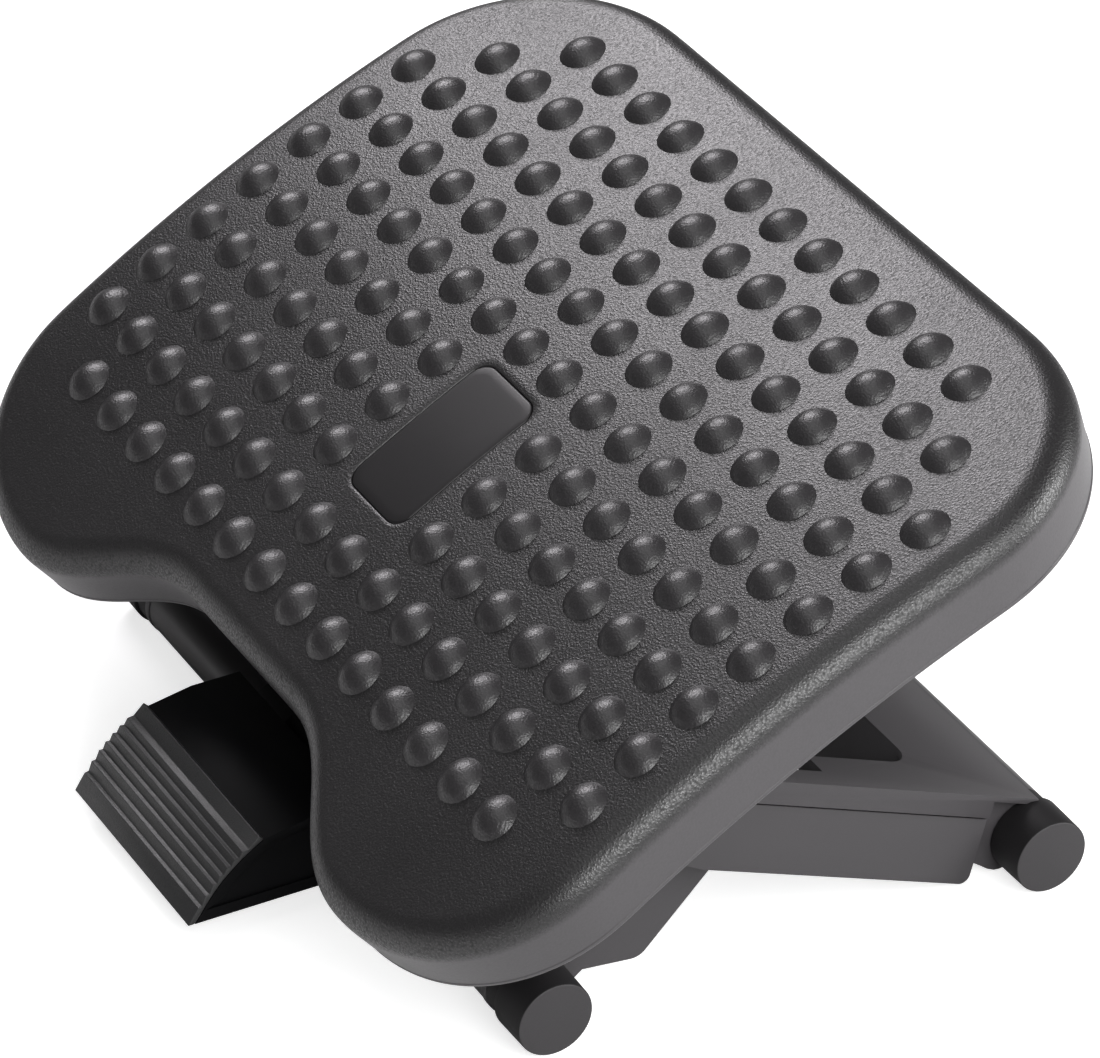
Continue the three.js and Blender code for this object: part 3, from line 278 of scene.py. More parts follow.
def loft(name, rings, start, end, smooth_angle=None):
    """Rings (ring, side, xyz) joined by quads, closed by a fan to a start point and to an end point."""
    count, sides = rings.shape[:2]
    points = np.vstack([rings.reshape(-1, 3), start, end])
    grid = np.arange(count * sides).reshape(count, sides)
    turn = np.roll(grid, -1, axis=1)
    quads = np.stack([grid[:-1], grid[1:], turn[1:], turn[:-1]], -1).reshape(-1, 4)
    first = np.stack([np.full(sides, count * sides), grid[0], turn[0]], -1)
    last = np.stack([grid[-1], np.full(sides, count * sides + 1), turn[-1]], -1)
    return new_piece(name, points.tolist(), quads.tolist() + first.tolist() + last.tolist(), smooth_angle)


# The rim's section, in pairs of distance in from the outline and height over the face: the flat, the
# quarter circle of the roll, the wall down to the lip, and up inside it to the underside.
RIM_ROLL = 0.013
ROLL_STEPS = 25
RIM_FLAT = [(0.0220, 0.0), (0.0160, 0.0), (0.0136, 0.0)]
LIP_KNOTS = [
    (0.0000, -0.0200), (0.0000, -0.0290), (-0.0002, -0.0298), (-0.0003, -0.0308), (0.0000, -0.0316),
    (0.0008, -0.0320), (0.0022, -0.0320), (0.0030, -0.0312), (0.0030, -0.0130), (0.0036, -0.0075),
    (0.0060, -0.0045), (0.0130, -0.0040), (0.0220, -0.0030),
]
outline = deck_outline(SIDES)
roll = np.radians(np.linspace(0, 90, ROLL_STEPS))
roll_line = np.stack([RIM_ROLL * (1 - np.sin(roll)), RIM_ROLL * (np.cos(roll) - 1)], -1)
rim_line = np.vstack([RIM_FLAT, roll_line, fine_line(LIP_KNOTS, steps=4)])
rim_rings = [np.c_[inward(outline, distance), np.full(SIDES, height)] for distance, height in rim_line]

# The rest of the shell goes in to the plate: a recess above, a pad below. Pairs give how far the plate's
# outline is grown, and the height.
PLATE_FLOOR = -0.0025
PLATE_JOINT = 0.0003
RECESS_WALL = [(PLATE_JOINT, -0.0023), (PLATE_JOINT, -0.0006), (0.0005, -0.0002)]
FACE_START = 0.0009
FACE_RINGS = 34
FACE_EASE = 1.1
SHELL_UNDER = -0.0030
UNDER_RINGS = 22
PAD_UNDER = -0.0070
PAD_FLARE = 0.0060
PAD_WALL = [(0.0042, -0.0048), (0.0040, -0.0067), (0.0037, PAD_UNDER)]
PAD_FLAT = 0.0030
face_edge = np.c_[inward(outline, rim_line[0, 0]), np.zeros(SIDES)]
under_edge = np.c_[inward(outline, rim_line[-1, 0]), np.full(SIDES, SHELL_UNDER)]
top_rings = [
    *between(plate_middle(PLATE_FLOOR), plate_ring(PLATE_JOINT, PLATE_FLOOR), [0.34, 0.67, 0.97]),
    *[plate_ring(grow, height) for grow, height in RECESS_WALL],
    *between(plate_ring(FACE_START, 0.0), face_edge, (np.linspace(0, 1, FACE_RINGS) ** FACE_EASE)[:-1]),
]
under_rings = [
    *between(under_edge, plate_ring(PAD_FLARE, SHELL_UNDER), np.linspace(0, 1, UNDER_RINGS)[1:]),
    *[plate_ring(grow, height) for grow, height in PAD_WALL],
    *between(plate_ring(PAD_FLAT, PAD_UNDER), plate_middle(PAD_UNDER), [0.3, 0.65]),
]
deck_rings = np.array([*top_rings, *rim_rings, *under_rings])
deck_skin = loft(
    "deck_skin",
    on_deck(deck_rings[..., 0], deck_rings[..., 1], deck_rings[..., 2]),
    on_deck(0, PLATE_ARC, PLATE_FLOOR),
    on_deck(0, PLATE_ARC, PAD_UNDER),
)

# Two values from 0 to 1 on the shell's points: "rim" on the roll, as exp(-((height - middle) / spread)^2),
# and "wall" below it, on the outer side alone, where it mixes in painted light as a paler colour.
RIM_MIDDLE = -0.0055
RIM_SPREAD = 0.0040
WALL_TOP = -0.0085
WALL_FADE = 0.0040
WALL_INSIDE = 0.0025
on_roll = np.arange(len(rim_line)) < len(RIM_FLAT) + ROLL_STEPS
rim_share = np.exp(-(((rim_line[:, 1] - RIM_MIDDLE) / RIM_SPREAD) ** 2)) * on_roll
wall_share = np.clip((WALL_TOP - rim_line[:, 1]) / WALL_FADE, 0, 1) * (rim_line[:, 0] < WALL_INSIDE)
for attribute, share in (("rim", rim_share), ("wall", wall_share)):
    by_ring = np.r_[np.zeros(len(top_rings)), share, np.zeros(len(under_rings))]
    by_point = np.r_[np.repeat(by_ring, SIDES), 0, 0].astype(np.float32)
    deck_skin.data.attributes.new(attribute, "FLOAT", "POINT").data.foreach_set("value", by_point)

# The ribs and the screw posts under the face.
RIB_HALF = 0.001
RIB_FOOT = -0.010
RIB_TAPER = 0.8
RIB_STOP = 0.0046
RIB_SAMPLES = 400
RIB_TOP_AT = [0.0040, 0.0060, 0.0130, 0.0220]
RIB_TOP = [-0.0060, -0.0043, -0.0038, -0.0028]
CROSS_RIB_ENDS = (-0.132, 0.132)
CROSS_RIBS = (0.120, 0.080, 0.040, 0.0, -0.040, -0.080, -0.120)
SIDE_RIB_ENDS = (0.168, 0.228)
SIDE_RIBS = (0.060, 0.020, -0.020, -0.060, -0.100)
LONG_RIB_ENDS = (-0.1495, 0.1585)
LONG_RIBS = (0.0449, 0.0898, 0.1294)
HINGE_PLACE = (-0.107, -0.024)
GLIDE_PLACE = (0.099, -0.0228)
POST_X = 0.14425
POSTS = (0.052, 0.132)
POST_TOP_HEIGHT = -0.0029
POST_FOOT = 0.0130
POST_RADIUS = 0.0050
POST_BORE = 0.0020
POST_SIDES = 24
POST_LOOK_UP = np.linspace(-0.15, 0.15, 3001)


def rib(x_ends, arc_ends, steps):
    """Points and quads of a strip under the shell from one end to the other, cut short of the wall. Its
    steps are t = (1 - cos a) / 2 for a over half a turn, its top follows the shell's underside by the
    distance to the outline, and its corners are offset square to the path in plan."""
    start = np.array([x_ends[0], arc_ends[0]])
    run = np.array([x_ends[1], arc_ends[1]]) - start

    def gap(path):
        """The distance from each point of a path to the nearest point of the outline."""
        return np.hypot(*np.moveaxis(path[:, None] - outline, -1, 0)).min(1)

    fine = np.linspace(0, 1, RIB_SAMPLES)
    inside = fine[gap(start + fine[:, None] * run) > RIB_STOP]
    t = inside[0] + (inside[-1] - inside[0]) * (1 - np.cos(np.linspace(0, np.pi, steps))) / 2
    path = start + t[:, None] * run
    top = np.interp(gap(path), RIB_TOP_AT, RIB_TOP)
    side = np.array([-run[1], run[0]]) / np.hypot(*run) * RIB_HALF
    corners = [(side, top), (-side, top), (-side * RIB_TAPER, RIB_FOOT), (side * RIB_TAPER, RIB_FOOT)]
    points = np.stack([on_deck(*(path + offset).T, height) for offset, height in corners], 1).reshape(-1, 3)
    ring = np.arange(steps * 4).reshape(steps, 4)
    turn = np.roll(ring, -1, axis=1)
    walls = np.stack([ring[:-1], turn[:-1], turn[1:], ring[1:]], -1).reshape(-1, 4)
    return points, np.vstack([walls, ring[:1, ::-1], ring[-1:]])


def post(x, place):
    """Points and quads of a screw post between the shell and a rail's tab: a tube square to the line from
    the hinge to the glide, whose points are hinge + along * place + square * height, with a bore."""
    hinge = on_deck(0, *HINGE_PLACE)
    along = on_deck(0, *GLIDE_PLACE) - hinge
    along /= np.linalg.norm(along)
    square = np.array([0, -along[2], along[1]])
    foot = hinge + along * place + square * POST_FOOT
    under = on_deck(0, POST_LOOK_UP, POST_TOP_HEIGHT)
    top = foot + square * ((under - foot) @ square)[np.argmin(np.abs((under - foot) @ along))]
    a = np.arange(POST_SIDES) / POST_SIDES * 2 * np.pi
    circle = np.cos(a)[:, None] * [1, 0, 0] + np.sin(a)[:, None] * along
    ends = [(top, POST_RADIUS), (foot, POST_RADIUS), (foot, POST_BORE), (top, POST_BORE)]
    rings = np.stack([[x, 0, 0] + end + circle * radius for end, radius in ends])
    grid = np.arange(len(ends) * POST_SIDES).reshape(-1, POST_SIDES)
    after = np.roll(grid, -1, axis=0)
    quads = np.stack([grid, after, np.roll(after, -1, axis=1), np.roll(grid, -1, axis=1)], -1)
    return rings.reshape(-1, 3), quads.reshape(-1, 4)


def gathered(parts):
    """Several (points, quads) as one: each part's quads count on from the points before it."""
    points = np.vstack([part_points for part_points, part_quads in parts])
    starts = np.cumsum([0] + [len(part_points) for part_points, part_quads in parts])
    quads = np.vstack([part_quads + start for (part_points, part_quads), start in zip(parts, starts)])
    return points.tolist(), quads.tolist()


rib_parts = [rib(CROSS_RIB_ENDS, (arc, arc), steps=2) for arc in CROSS_RIBS]
for side in (-1, 1):
    x_ends = [side * x for x in SIDE_RIB_ENDS]
    rib_parts += [rib(x_ends, (arc, arc), steps=14) for arc in SIDE_RIBS]
for side in (-1, 1):
    rib_parts += [rib((side * x, side * x), LONG_RIB_ENDS, steps=40) for x in LONG_RIBS]
for side in (-1, 1):
    rib_parts += [post(side * POST_X, place) for place in POSTS]
deck_ribs = new_piece("deck_ribs", *gathered(rib_parts), smooth_angle=20)

# The pebbled grain of the moulds, which all the plastic and rubber pieces show.
CELL_SMOOTHNESS = 0.6
CELL_STEEPNESS = 1.3
CELL_SHARE = 0.65
NOISE_SHARE = 0.5
NOISE_PER_CELL = 1.7
MEAN_HEIGHT = 0.62
DRIFT_SCALE = 14
POLISH_PER_SPECK = 0.25


def moulded_grain():
    """Shader group. Cells and fine noise on object coordinates give the pebbles' height, about 0 to 1:
    share (1 - steepness distance) + share noise. A broad noise gives a slow drift of tone. Tone is the
    colour times 1 + drift + specks, and Rough is the roughness with the drift, less on the high specks."""
    tree = bpy.data.node_groups.new("moulded_grain", "ShaderNodeTree")
    face = tree.interface
    face.new_socket("Color", in_out="INPUT", socket_type="NodeSocketColor")
    for name in ("Cell", "Speck", "Drift", "Roughness"):
        face.new_socket(name, in_out="INPUT", socket_type="NodeSocketFloat")
    face.new_socket("Height", in_out="OUTPUT", socket_type="NodeSocketFloat")
    face.new_socket("Tone", in_out="OUTPUT", socket_type="NodeSocketColor")
    face.new_socket("Rough", in_out="OUTPUT", socket_type="NodeSocketFloat")
    add = tree.nodes.new
    link = tree.links.new

    def maths(operation, *values):
        """The output of a Math node, fed by numbers and by other outputs."""
        node = add("ShaderNodeMath")
        node.operation = operation
        for socket, value in zip(node.inputs, values):
            if isinstance(value, (int, float)):
                socket.default_value = value
            else:
                link(value, socket)
        return node.outputs[0]

    given = add("NodeGroupInput").outputs
    result = add("NodeGroupOutput").inputs
    place = add("ShaderNodeTexCoord").outputs["Object"]
    density = maths("DIVIDE", 1 / MILLIMETRE, given["Cell"])
    cells = add("ShaderNodeTexVoronoi")
    cells.feature = "SMOOTH_F1"
    cells.inputs["Smoothness"].default_value = CELL_SMOOTHNESS
    fine = add("ShaderNodeTexNoise")
    fine.inputs["Detail"].default_value = 3
    broad = add("ShaderNodeTexNoise")
    broad.inputs["Scale"].default_value = DRIFT_SCALE
    broad.inputs["Detail"].default_value = 2
    for node in (cells, fine, broad):
        link(place, node.inputs["Vector"])
    link(density, cells.inputs["Scale"])
    link(maths("MULTIPLY", density, NOISE_PER_CELL), fine.inputs["Scale"])
    pebble = maths("SUBTRACT", 1, maths("MULTIPLY", cells.outputs["Distance"], CELL_STEEPNESS))
    noise = maths("MULTIPLY", fine.outputs["Fac"], NOISE_SHARE)
    height = maths("ADD", maths("MULTIPLY", pebble, CELL_SHARE), noise)
    link(height, result["Height"])
    speck = maths("MULTIPLY", maths("SUBTRACT", height, MEAN_HEIGHT), given["Speck"])
    drift = maths("MULTIPLY", maths("SUBTRACT", broad.outputs["Fac"], 0.5), given["Drift"])
    tone = add("ShaderNodeVectorMath")
    tone.operation = "SCALE"
    link(given["Color"], tone.inputs[0])
    link(maths("ADD", 1, maths("ADD", speck, drift)), tone.inputs["Scale"])
    link(tone.outputs[0], result["Tone"])
    polish = maths("SUBTRACT", drift, maths("MULTIPLY", speck, POLISH_PER_SPECK))
    link(maths("ADD", given["Roughness"], polish), result["Rough"])
    return tree


grain_group = moulded_grain()


def plastic(name, colour, roughness, cell, depth, speck=0.3, drift=0.12, specular=0.5):
    """A Principled material whose colour, roughness and bump come from the grain group. The cells' width
    and the depth are in millimetres."""
    material = bpy.data.materials.new(name)
    material.use_nodes = True
    tree = material.node_tree
    shader = tree.nodes["Principled BSDF"]
    grain = tree.nodes.new("ShaderNodeGroup")
    grain.name = "grain"
    grain.node_tree = grain_group
    grain.inputs["Color"].default_value = (*colour, 1)
    grain.inputs["Cell"].default_value = cell
    grain.inputs["Speck"].default_value = speck
    grain.inputs["Drift"].default_value = drift
    grain.inputs["Roughness"].default_value = roughness
    bump = tree.nodes.new("ShaderNodeBump")
    bump.name = "bump"
    bump.inputs["Strength"].default_value = 1
    bump.inputs["Distance"].default_value = depth * MILLIMETRE
    shader.inputs["Specular IOR Level"].default_value = specular
    tree.links.new(grain.outputs["Tone"], shader.inputs["Base Color"])
    tree.links.new(grain.outputs["Rough"], shader.inputs["Roughness"])
    tree.links.new(grain.outputs["Height"], bump.inputs["Height"])
    tree.links.new(bump.outputs["Normal"], shader.inputs["Normal"])
    return material


# The deck's own plastic: a dark, grained face with livelier specks on the rim, and a smoother wall.
# The wall's paler colour is painted light, for the light that falls on the outer wall of one charcoal
# moulding.
FACE_COLOUR = (0.0135, 0.0123, 0.0135)
WALL_PAINTED_LIGHT_COLOUR = (0.062, 0.0577, 0.062)
DECK_SPECK = 1.5
RIM_SPECK_MORE = 0.9
WALL_CALM = 0.85

deck_plastic = plastic(
    "deck_plastic", FACE_COLOUR, roughness=0.33, cell=0.95, depth=0.15, speck=DECK_SPECK, specular=0.8
)
deck_tree = deck_plastic.node_tree
deck_grain = deck_tree.nodes["grain"]
deck_share = {}
for name in ("rim", "wall"):
    reader = deck_tree.nodes.new("ShaderNodeAttribute")
    reader.attribute_name = name
    deck_share[name] = reader.outputs["Fac"]
# Painted light: the wall mask mixes the face colour towards the paler wall colour.
wall_painted_light_mix = deck_tree.nodes.new("ShaderNodeMix")
wall_painted_light_mix.data_type = "RGBA"
wall_painted_light_mix.inputs["A"].default_value = (*FACE_COLOUR, 1)
wall_painted_light_mix.inputs["B"].default_value = (*WALL_PAINTED_LIGHT_COLOUR, 1)
deck_tree.links.new(deck_share["wall"], wall_painted_light_mix.inputs["Factor"])
deck_tree.links.new(wall_painted_light_mix.outputs["Result"], deck_grain.inputs["Color"])


def gain(share, amount, base):
    """base + amount * share, for the deck's plastic."""
    node = deck_tree.nodes.new("ShaderNodeMath")
    node.operation = "MULTIPLY_ADD"
    node.inputs[1].default_value = amount
    deck_tree.links.new(deck_share[share], node.inputs[0])
    if isinstance(base, float):
        node.inputs[2].default_value = base
    else:
        deck_tree.links.new(base, node.inputs[2])
    return node.outputs[0]


rim_speck = gain("rim", RIM_SPECK_MORE * DECK_SPECK, DECK_SPECK)
deck_tree.links.new(gain("wall", -WALL_CALM * DECK_SPECK, rim_speck), deck_grain.inputs["Speck"])
wall_fade = deck_tree.nodes.new("ShaderNodeMath")
wall_fade.operation = "MULTIPLY"
deck_tree.links.new(gain("wall", -WALL_CALM, 1.0), wall_fade.inputs[0])
deck_tree.links.new(deck_grain.outputs["Height"], wall_fade.inputs[1])
deck_tree.links.new(wall_fade.outputs[0], deck_tree.nodes["bump"].inputs["Height"])

rib_plastic = plastic("rib_plastic", (0.030, 0.030, 0.031), roughness=0.5, cell=0.8, depth=0.02)
for piece, paint in ((deck_skin, deck_plastic), (deck_ribs, rib_plastic)):
    piece.data.materials.append(paint)
    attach(piece, "platform")
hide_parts("deck_shell")


# Massage bumps
# Rows of smooth domes on a square pitch, moulded with the deck from the same plastic. The rows by the toe
# and heel edges are shorter, and the centre plate takes the place of six.
BUMP_PITCH = 0.027
BUMP_ROWS = 10
BUMP_COLUMNS = 16
BUMPS_SHORT_BY = (2, 1, 0, 0, 0, 0, 0, 0, 0, 1)
PLATE_ROWS = (5, 6, 7)
PLATE_COLUMNS = (7, 8)
BUMP_RADIUS = 0.0100
BUMP_HEIGHT = 0.0048
BUMP_SIDES = 20
BUMP_LEVELS = 5
FOOT_SPREAD = 1.06
FOOT_HEIGHT = -0.0006


def bump_places():
    """Centres ((column - middle) pitch, (middle - row) pitch), less the short ends and the plate's."""
    row, column = np.mgrid[0:BUMP_ROWS, 0:BUMP_COLUMNS]
    short = np.array(BUMPS_SHORT_BY)[row]
    keep = (column >= short) & (column < BUMP_COLUMNS - short)
    keep &= ~(np.isin(row, PLATE_ROWS) & np.isin(column, PLATE_COLUMNS))
    x = (column - (BUMP_COLUMNS - 1) / 2) * BUMP_PITCH
    arc = ((BUMP_ROWS - 1) / 2 - row) * BUMP_PITCH
    return x[keep], arc[keep]


def domes():
    """Each dome is a cap of a sphere of radius q = (r^2 + h^2) / 2h on a short foot: over a ring of radius
    p, the height is sqrt(q^2 - p^2) - (q - h), with rings spaced by the sine of equal turns."""
    q = (BUMP_RADIUS**2 + BUMP_HEIGHT**2) / (2 * BUMP_HEIGHT)
    edge = np.arcsin(BUMP_RADIUS / q)
    p = q * np.sin(edge * (1 - np.arange(BUMP_LEVELS) / BUMP_LEVELS))
    h = np.sqrt(q**2 - p**2) - (q - BUMP_HEIGHT)
    p, h = np.r_[BUMP_RADIUS * FOOT_SPREAD, p], np.r_[FOOT_HEIGHT, h]
    a = np.arange(BUMP_SIDES) / BUMP_SIDES * 2 * np.pi
    middle_x, middle_arc = bump_places()
    x = middle_x[:, None, None] + p[None, :, None] * np.cos(a)
    arc = middle_arc[:, None, None] + p[None, :, None] * np.sin(a)
    rings = on_deck(x, arc, h[None, :, None]).reshape(len(middle_x), -1, 3)
    tops = on_deck(middle_x, middle_arc, BUMP_HEIGHT)[:, None]
    points = np.concatenate([rings, tops], 1)
    ring = np.arange((BUMP_LEVELS + 1) * BUMP_SIDES).reshape(BUMP_LEVELS + 1, BUMP_SIDES)
    turn = np.roll(ring, -1, axis=1)
    quads = np.stack([ring[:-1], turn[:-1], turn[1:], ring[1:]], -1).reshape(-1, 4)
    fan = np.stack([ring[-1], turn[-1], np.full(BUMP_SIDES, ring.size)], -1)
    offset = (np.arange(len(middle_x)) * points.shape[1])[:, None, None]
    faces = (quads + offset).reshape(-1, 4).tolist() + (fan + offset).reshape(-1, 3).tolist()
    return points.reshape(-1, 3).tolist(), faces


deck_bumps = new_piece("deck_bumps", *domes())
bump_plastic = plastic(
    "bump_plastic", (0.024, 0.022, 0.024), roughness=0.34, cell=0.9, depth=0.12, speck=1.2, specular=0.8
)
deck_bumps.data.materials.append(bump_plastic)
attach(deck_bumps, "platform")


# Centre plate
# A smooth plate with rounded corners, moulded on its own and let into a recess of the deck. It is bare, and
# a thin dark joint runs round it.
PLATE_UNDER = -0.0022
PLATE_FLAT = -0.0008
PLATE_EDGE = [(-0.0003, -0.0001), (0.0, -0.0005), (0.0, PLATE_UNDER)]
PLATE_BACK = -0.0003
plate_rings = np.array([
    *between(plate_middle(0.0), plate_ring(PLATE_FLAT, 0.0), [0.3, 0.6, 0.9, 1.0]),
    *[plate_ring(grow, height) for grow, height in PLATE_EDGE],
    *between(plate_ring(PLATE_BACK, PLATE_UNDER), plate_middle(PLATE_UNDER), [0.1, 0.6]),
])
plate_skin = loft(
    "centre_plate_skin",
    on_deck(plate_rings[..., 0], plate_rings[..., 1], plate_rings[..., 2]),
    on_deck(0, PLATE_ARC, 0.0),
    on_deck(0, PLATE_ARC, PLATE_UNDER),
)
plate_plastic = plastic(
    "plate_plastic", (0.017, 0.0158, 0.017), roughness=0.34, cell=0.6, depth=0.012, specular=0.35
)
plate_skin.data.materials.append(plate_plastic)
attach(plate_skin, "platform")
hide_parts("centre_plate")


# Leg frames
# Two crossed mouldings of dark grey nylon, plates with skirts down their sides, hinged on the cross axle.
# Their edges have the small round of a mould, and their faces a fine matt texture.
MERGE_DISTANCE = 1e-6
FLAT_WITHIN = np.radians(1)
EDGE_FROM = np.radians(28)
LEG_ROUNDING = 0.0005


def softened(name, node, width, body, paint):
    """A copy of a CAD node's mesh: doubles merged, flat faces dissolved, and edges rounded by a bevel."""
    shell = bmesh.new()
    shell.from_mesh(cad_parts[node].data)
    bmesh.ops.remove_doubles(shell, verts=shell.verts, dist=MERGE_DISTANCE)
    bmesh.ops.dissolve_limit(shell, angle_limit=FLAT_WITHIN, verts=shell.verts, edges=shell.edges)
    mesh = bpy.data.meshes.new(name)
    shell.to_mesh(mesh)
    shell.free()
    mesh.polygons.foreach_set("use_smooth", np.ones(len(mesh.polygons), bool))
    piece = bpy.data.objects.new(name, mesh)
    scene.collection.objects.link(piece)
    rounding = piece.modifiers.new("rounding", "BEVEL")
    rounding.width = width
    rounding.segments = 2
    rounding.limit_method = "ANGLE"
    rounding.angle_limit = EDGE_FROM
    rounding.harden_normals = True
    mesh.materials.clear()
    mesh.materials.append(paint)
    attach(piece, body)
    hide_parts(node)


leg_plastic = plastic(
    "leg_plastic", (0.050, 0.0465, 0.050), roughness=0.52, cell=0.5, depth=0.012, speck=0.12, drift=0.08
)
softened("outer_leg_moulding", "outer_leg_frame", LEG_ROUNDING, "outer_leg", leg_plastic)
softened("inner_leg_moulding", "inner_leg_frame", LEG_ROUNDING, "inner_leg", leg_plastic)


# Foot bars and caps
# Two round black bars cross the frames at the floor. A plain rubber cap is pushed over each end, and the
# footrest stands on the caps; their round side is painted darker than the flat end, as painted shade.
AXIS_HEIGHT = 0.0162
BAR_TIP = 0.1729
BAR_RADIUS = 0.0148
BAR_SIDES = 64
NECK_RADIUS = 0.0100
CAP_END = 0.1782
CAP_RADIUS = 0.0159
CAP_EDGE = 0.0007
CAP_SIDES = 80
CAP_LIP = [
    (0.1732, 0), (0.1732, 0.0103), (0.1503, 0.0103), (0.1503, 0.0148), (0.1587, 0.0148),
    (0.1587, 0.0158), (0.1589, 0.0161), (0.1592, 0.0162), (0.1660, 0.0161),
]
CAP_FLAT_FROM = 0.177
CAP_FLAT_NORMAL = 0.8


def turned(name, line, y, z, sides):
    """A line of (x, radius) points turned about the x axis through (y, z):
    (x, y - radius cos a, z + radius sin a) for a round the circle."""
    line = np.array(line, float)
    a = np.arange(sides) / sides * 2 * np.pi
    x, radius = line[1:-1, 0, None], line[1:-1, 1, None]
    rings = np.stack([x + 0 * a, y - radius * np.cos(a), z + radius * np.sin(a)], -1)
    return loft(name, rings, (line[0, 0], y, z), (line[-1, 0], y, z), smooth_angle=35)


def rounded_end(x, radius, edge):
    """Points (x - edge (1 - cos a), radius - edge (1 - sin a)) round the edge of a disc, in four steps."""
    a = np.linspace(0, np.pi / 2, 5)[::-1]
    return list(zip(x - edge * (1 - np.cos(a)), radius - edge * (1 - np.sin(a))))


bar_plastic = plastic(
    "bar_plastic", (0.015, 0.014, 0.015), roughness=0.38, cell=0.5, depth=0.012, speck=0.15
)
cap_rubber = plastic(
    "cap_rubber", (0.036, 0.0335, 0.036), roughness=0.55, cell=0.45, depth=0.015, speck=0.2
)
# Painted shade: a darker, duller copy of the cap rubber for the caps' round sides, where shade falls.
cap_painted_shade_side = plastic(
    "cap_painted_shade_side", (0.012, 0.011, 0.012), roughness=0.6, cell=0.45, depth=0.015, speck=0.2, specular=0.3
)
cap_line = [*CAP_LIP, *rounded_end(CAP_END, CAP_RADIUS, CAP_EDGE), (CAP_END, 0)]
for end, y, shoulder, body in (
    ("toe", 0.1494, 0.1500, "outer_leg"),
    ("heel", -0.0725, 0.1462, "inner_leg"),
):
    half = [(BAR_TIP, 0), (BAR_TIP, NECK_RADIUS), (shoulder, NECK_RADIUS), (shoulder, BAR_RADIUS)]
    bar_line = [(-x, radius) for x, radius in half] + half[::-1]
    bar = turned(f"{end}_bar", bar_line, y, AXIS_HEIGHT, BAR_SIDES)
    bar.data.materials.append(bar_plastic)
    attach(bar, body)
    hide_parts(f"{end}_foot_bar")
    for side, way in (("right", 1), ("left", -1)):
        line = [(way * x, radius) for x, radius in cap_line][::way]
        cap = turned(f"{end}_cap_{side}", line, y, AXIS_HEIGHT, CAP_SIDES)
        cap.data.materials.append(cap_painted_shade_side)
        cap.data.materials.append(cap_rubber)
        normal = np.empty(len(cap.data.polygons) * 3, np.float32)
        middle = np.empty(len(cap.data.polygons) * 3, np.float32)
        cap.data.polygons.foreach_get("normal", normal)
        cap.data.polygons.foreach_get("center", middle)
        # The flat end faces keep the cap rubber; all other faces take the painted shade.
        on_flat = (normal[::3] * way > CAP_FLAT_NORMAL) & (middle[::3] * way > CAP_FLAT_FROM)
        cap.data.polygons.foreach_set("material_index", on_flat.astype(np.int32))
        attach(cap, body)
        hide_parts(f"{end}_foot_cap_{side}")


# Pedal
# A hooded lever of black plastic, clipped over the heel bar, with an arm up to the brake shoe. Its ribbed
# tread is a rubber pad of its own on the slope.
PEDAL_ROUNDING = 0.0006
TREAD_ROUNDING = 0.00025
pedal_plastic = plastic(
    "pedal_plastic", (0.0025, 0.0025, 0.003), roughness=0.5, cell=0.5, depth=0.01, specular=0.1
)
tread_rubber = plastic(
    "tread_rubber", (0.017, 0.017, 0.018), roughness=0.42, cell=0.6, depth=0.09, speck=0.8, specular=0.8
)
softened("pedal_moulding", "pedal", PEDAL_ROUNDING, "pedal", pedal_plastic)
softened("pedal_tread_pad", "pedal_tread", TREAD_ROUNDING, "pedal", tread_rubber)


# Steel under the deck
# Zinc-plated steel: the hinge rod, the cross axle, the glide bar, two folded rails with their screws, and
# the pedal's two wire springs. Drawn and rolled steel keeps fine lines under the plating's faint bloom.
STEEL_DARK = (0.36, 0.37, 0.39, 1)
STEEL_PALE = (0.60, 0.61, 0.62, 1)
LINES_SCALE = 1500
BLOOM_SCALE = 90
SMOOTHER_BY = 0.08
ROUGHER_BY = 0.12


def plated_steel(name, stretch, roughness, depth):
    """Zinc over steel. A noise stretched along the drawn length makes the lines, a broad one the plating's
    bloom. The lines' depth is in millimetres."""
    material = bpy.data.materials.new(name)
    material.use_nodes = True
    tree = material.node_tree
    shader = tree.nodes["Principled BSDF"]
    shader.inputs["Metallic"].default_value = 1
    place = tree.nodes.new("ShaderNodeTexCoord")
    squeeze = tree.nodes.new("ShaderNodeMapping")
    squeeze.inputs["Scale"].default_value = stretch
    lines = tree.nodes.new("ShaderNodeTexNoise")
    lines.inputs["Scale"].default_value = LINES_SCALE
    lines.inputs["Detail"].default_value = 4
    bloom = tree.nodes.new("ShaderNodeTexNoise")
    bloom.inputs["Scale"].default_value = BLOOM_SCALE
    bloom.inputs["Detail"].default_value = 3
    colour = tree.nodes.new("ShaderNodeMix")
    colour.data_type = "RGBA"
    colour.inputs["A"].default_value = STEEL_DARK
    colour.inputs["B"].default_value = STEEL_PALE
    rough = tree.nodes.new("ShaderNodeMapRange")
    rough.inputs["To Min"].default_value = roughness - SMOOTHER_BY
    rough.inputs["To Max"].default_value = roughness + ROUGHER_BY
    bump = tree.nodes.new("ShaderNodeBump")
    bump.inputs["Strength"].default_value = 1
    bump.inputs["Distance"].default_value = depth * MILLIMETRE
    tree.links.new(place.outputs["Object"], squeeze.inputs["Vector"])
    tree.links.new(squeeze.outputs["Vector"], lines.inputs["Vector"])
    tree.links.new(place.outputs["Object"], bloom.inputs["Vector"])
    tree.links.new(bloom.outputs["Fac"], colour.inputs["Factor"])
    tree.links.new(colour.outputs["Result"], shader.inputs["Base Color"])
    tree.links.new(lines.outputs["Fac"], rough.inputs["Value"])
    tree.links.new(rough.outputs["Result"], shader.inputs["Roughness"])
    tree.links.new(lines.outputs["Fac"], bump.inputs["Height"])
    tree.links.new(bump.outputs["Normal"], shader.inputs["Normal"])
    return material


def finished(nodes, paint):
    """CAD nodes that are shown as they are, in a paint."""
    for node in nodes:
        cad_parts[node].data.materials.clear()
        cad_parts[node].data.materials.append(paint)


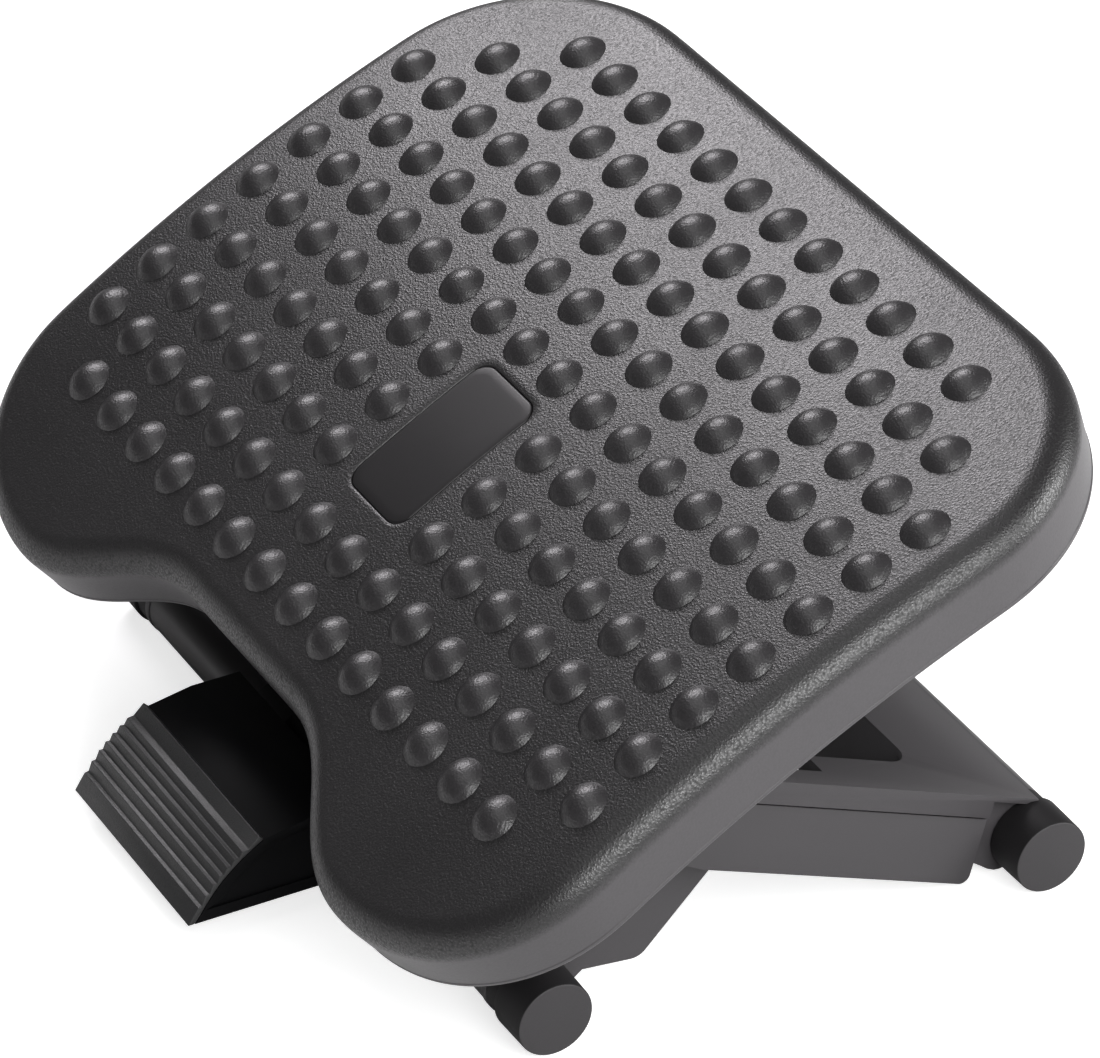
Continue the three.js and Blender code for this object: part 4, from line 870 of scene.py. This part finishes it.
bar_steel = plated_steel("bar_steel", stretch=(0.04, 1, 1), roughness=0.34, depth=0.006)
sheet_steel = plated_steel("sheet_steel", stretch=(1, 0.12, 0.12), roughness=0.42, depth=0.004)
wire_steel = plated_steel("wire_steel", stretch=(1, 1, 1), roughness=0.30, depth=0.003)
finished(("hinge_rod", "cross_axle", "glide_bar"), bar_steel)
for side in ("left", "right"):
    finished((f"deck_rail_{side}",), sheet_steel)
    finished((f"rail_screw_1_{side}", f"rail_screw_2_{side}"), wire_steel)

SPRING_X = 0.032
SPRING_Y = -0.049
SPRING_INSET = 0.0008
SPRING_TURNS = 7
SPRING_RADIUS = 0.0045
WIRE_RADIUS = 0.00075
WIRE_SIDES = 10
STEPS_A_TURN = 24
CLOSED_PITCH = 2.1 * WIRE_RADIUS


def coil(name, x, y, low, high):
    """A compression spring. Its line is (radius cos a, radius sin a, z) for a over the turns, where z rises
    by the closed pitch in the first and in the last turn, and evenly between; a circle follows it."""
    step = np.linspace(0, SPRING_TURNS, SPRING_TURNS * STEPS_A_TURN + 1)
    heights = [low, low + CLOSED_PITCH, high - CLOSED_PITCH, high]
    z = np.interp(step, [0, 1, SPRING_TURNS - 1, SPRING_TURNS], heights)
    a = step * 2 * np.pi
    out = np.stack([np.cos(a), np.sin(a), 0 * a], -1)
    centre = out * SPRING_RADIUS + np.stack([0 * a + x, 0 * a + y, z], -1)
    b = np.arange(WIRE_SIDES)[:, None] / WIRE_SIDES * 2 * np.pi
    rings = centre[:, None] + WIRE_RADIUS * (np.cos(b) * out[:, None] + np.sin(b) * [0, 0, 1])
    return loft(name, rings, centre[0], centre[-1], smooth_angle=40)


for side, way in (("left", -1), ("right", 1)):
    low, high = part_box(f"return_spring_{side}")
    x = way * SPRING_X
    spring = coil(f"spring_{side}", x, SPRING_Y, low[2] + SPRING_INSET, high[2] - SPRING_INSET)
    spring.data.materials.append(wire_steel)
    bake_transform(spring)
    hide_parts(f"return_spring_{side}")


# Spacers, bearings and lock
# Black nylon mouldings: the axle's spacers and bushes, the rod caps, the sleeves in the rails' slots, and
# the drum on the cross axle that the brake shoe of dark rubber grips.
NYLON_PARTS = ("hinge_rod_cap", "cross_axle_cap", "axle_spacer", "axle_bush", "glide_sleeve")
bearing_nylon = plastic(
    "bearing_nylon", (0.022, 0.022, 0.023), roughness=0.32, cell=0.4, depth=0.006, speck=0.1
)
shoe_rubber = plastic("shoe_rubber", (0.020, 0.019, 0.019), roughness=0.7, cell=0.5, depth=0.04, speck=0.5)
for side in ("left", "right"):
    finished([f"{part}_{side}" for part in NYLON_PARTS], bearing_nylon)
finished(["lock_drum"], bearing_nylon)
finished(["brake_shoe"], shoe_rubber)
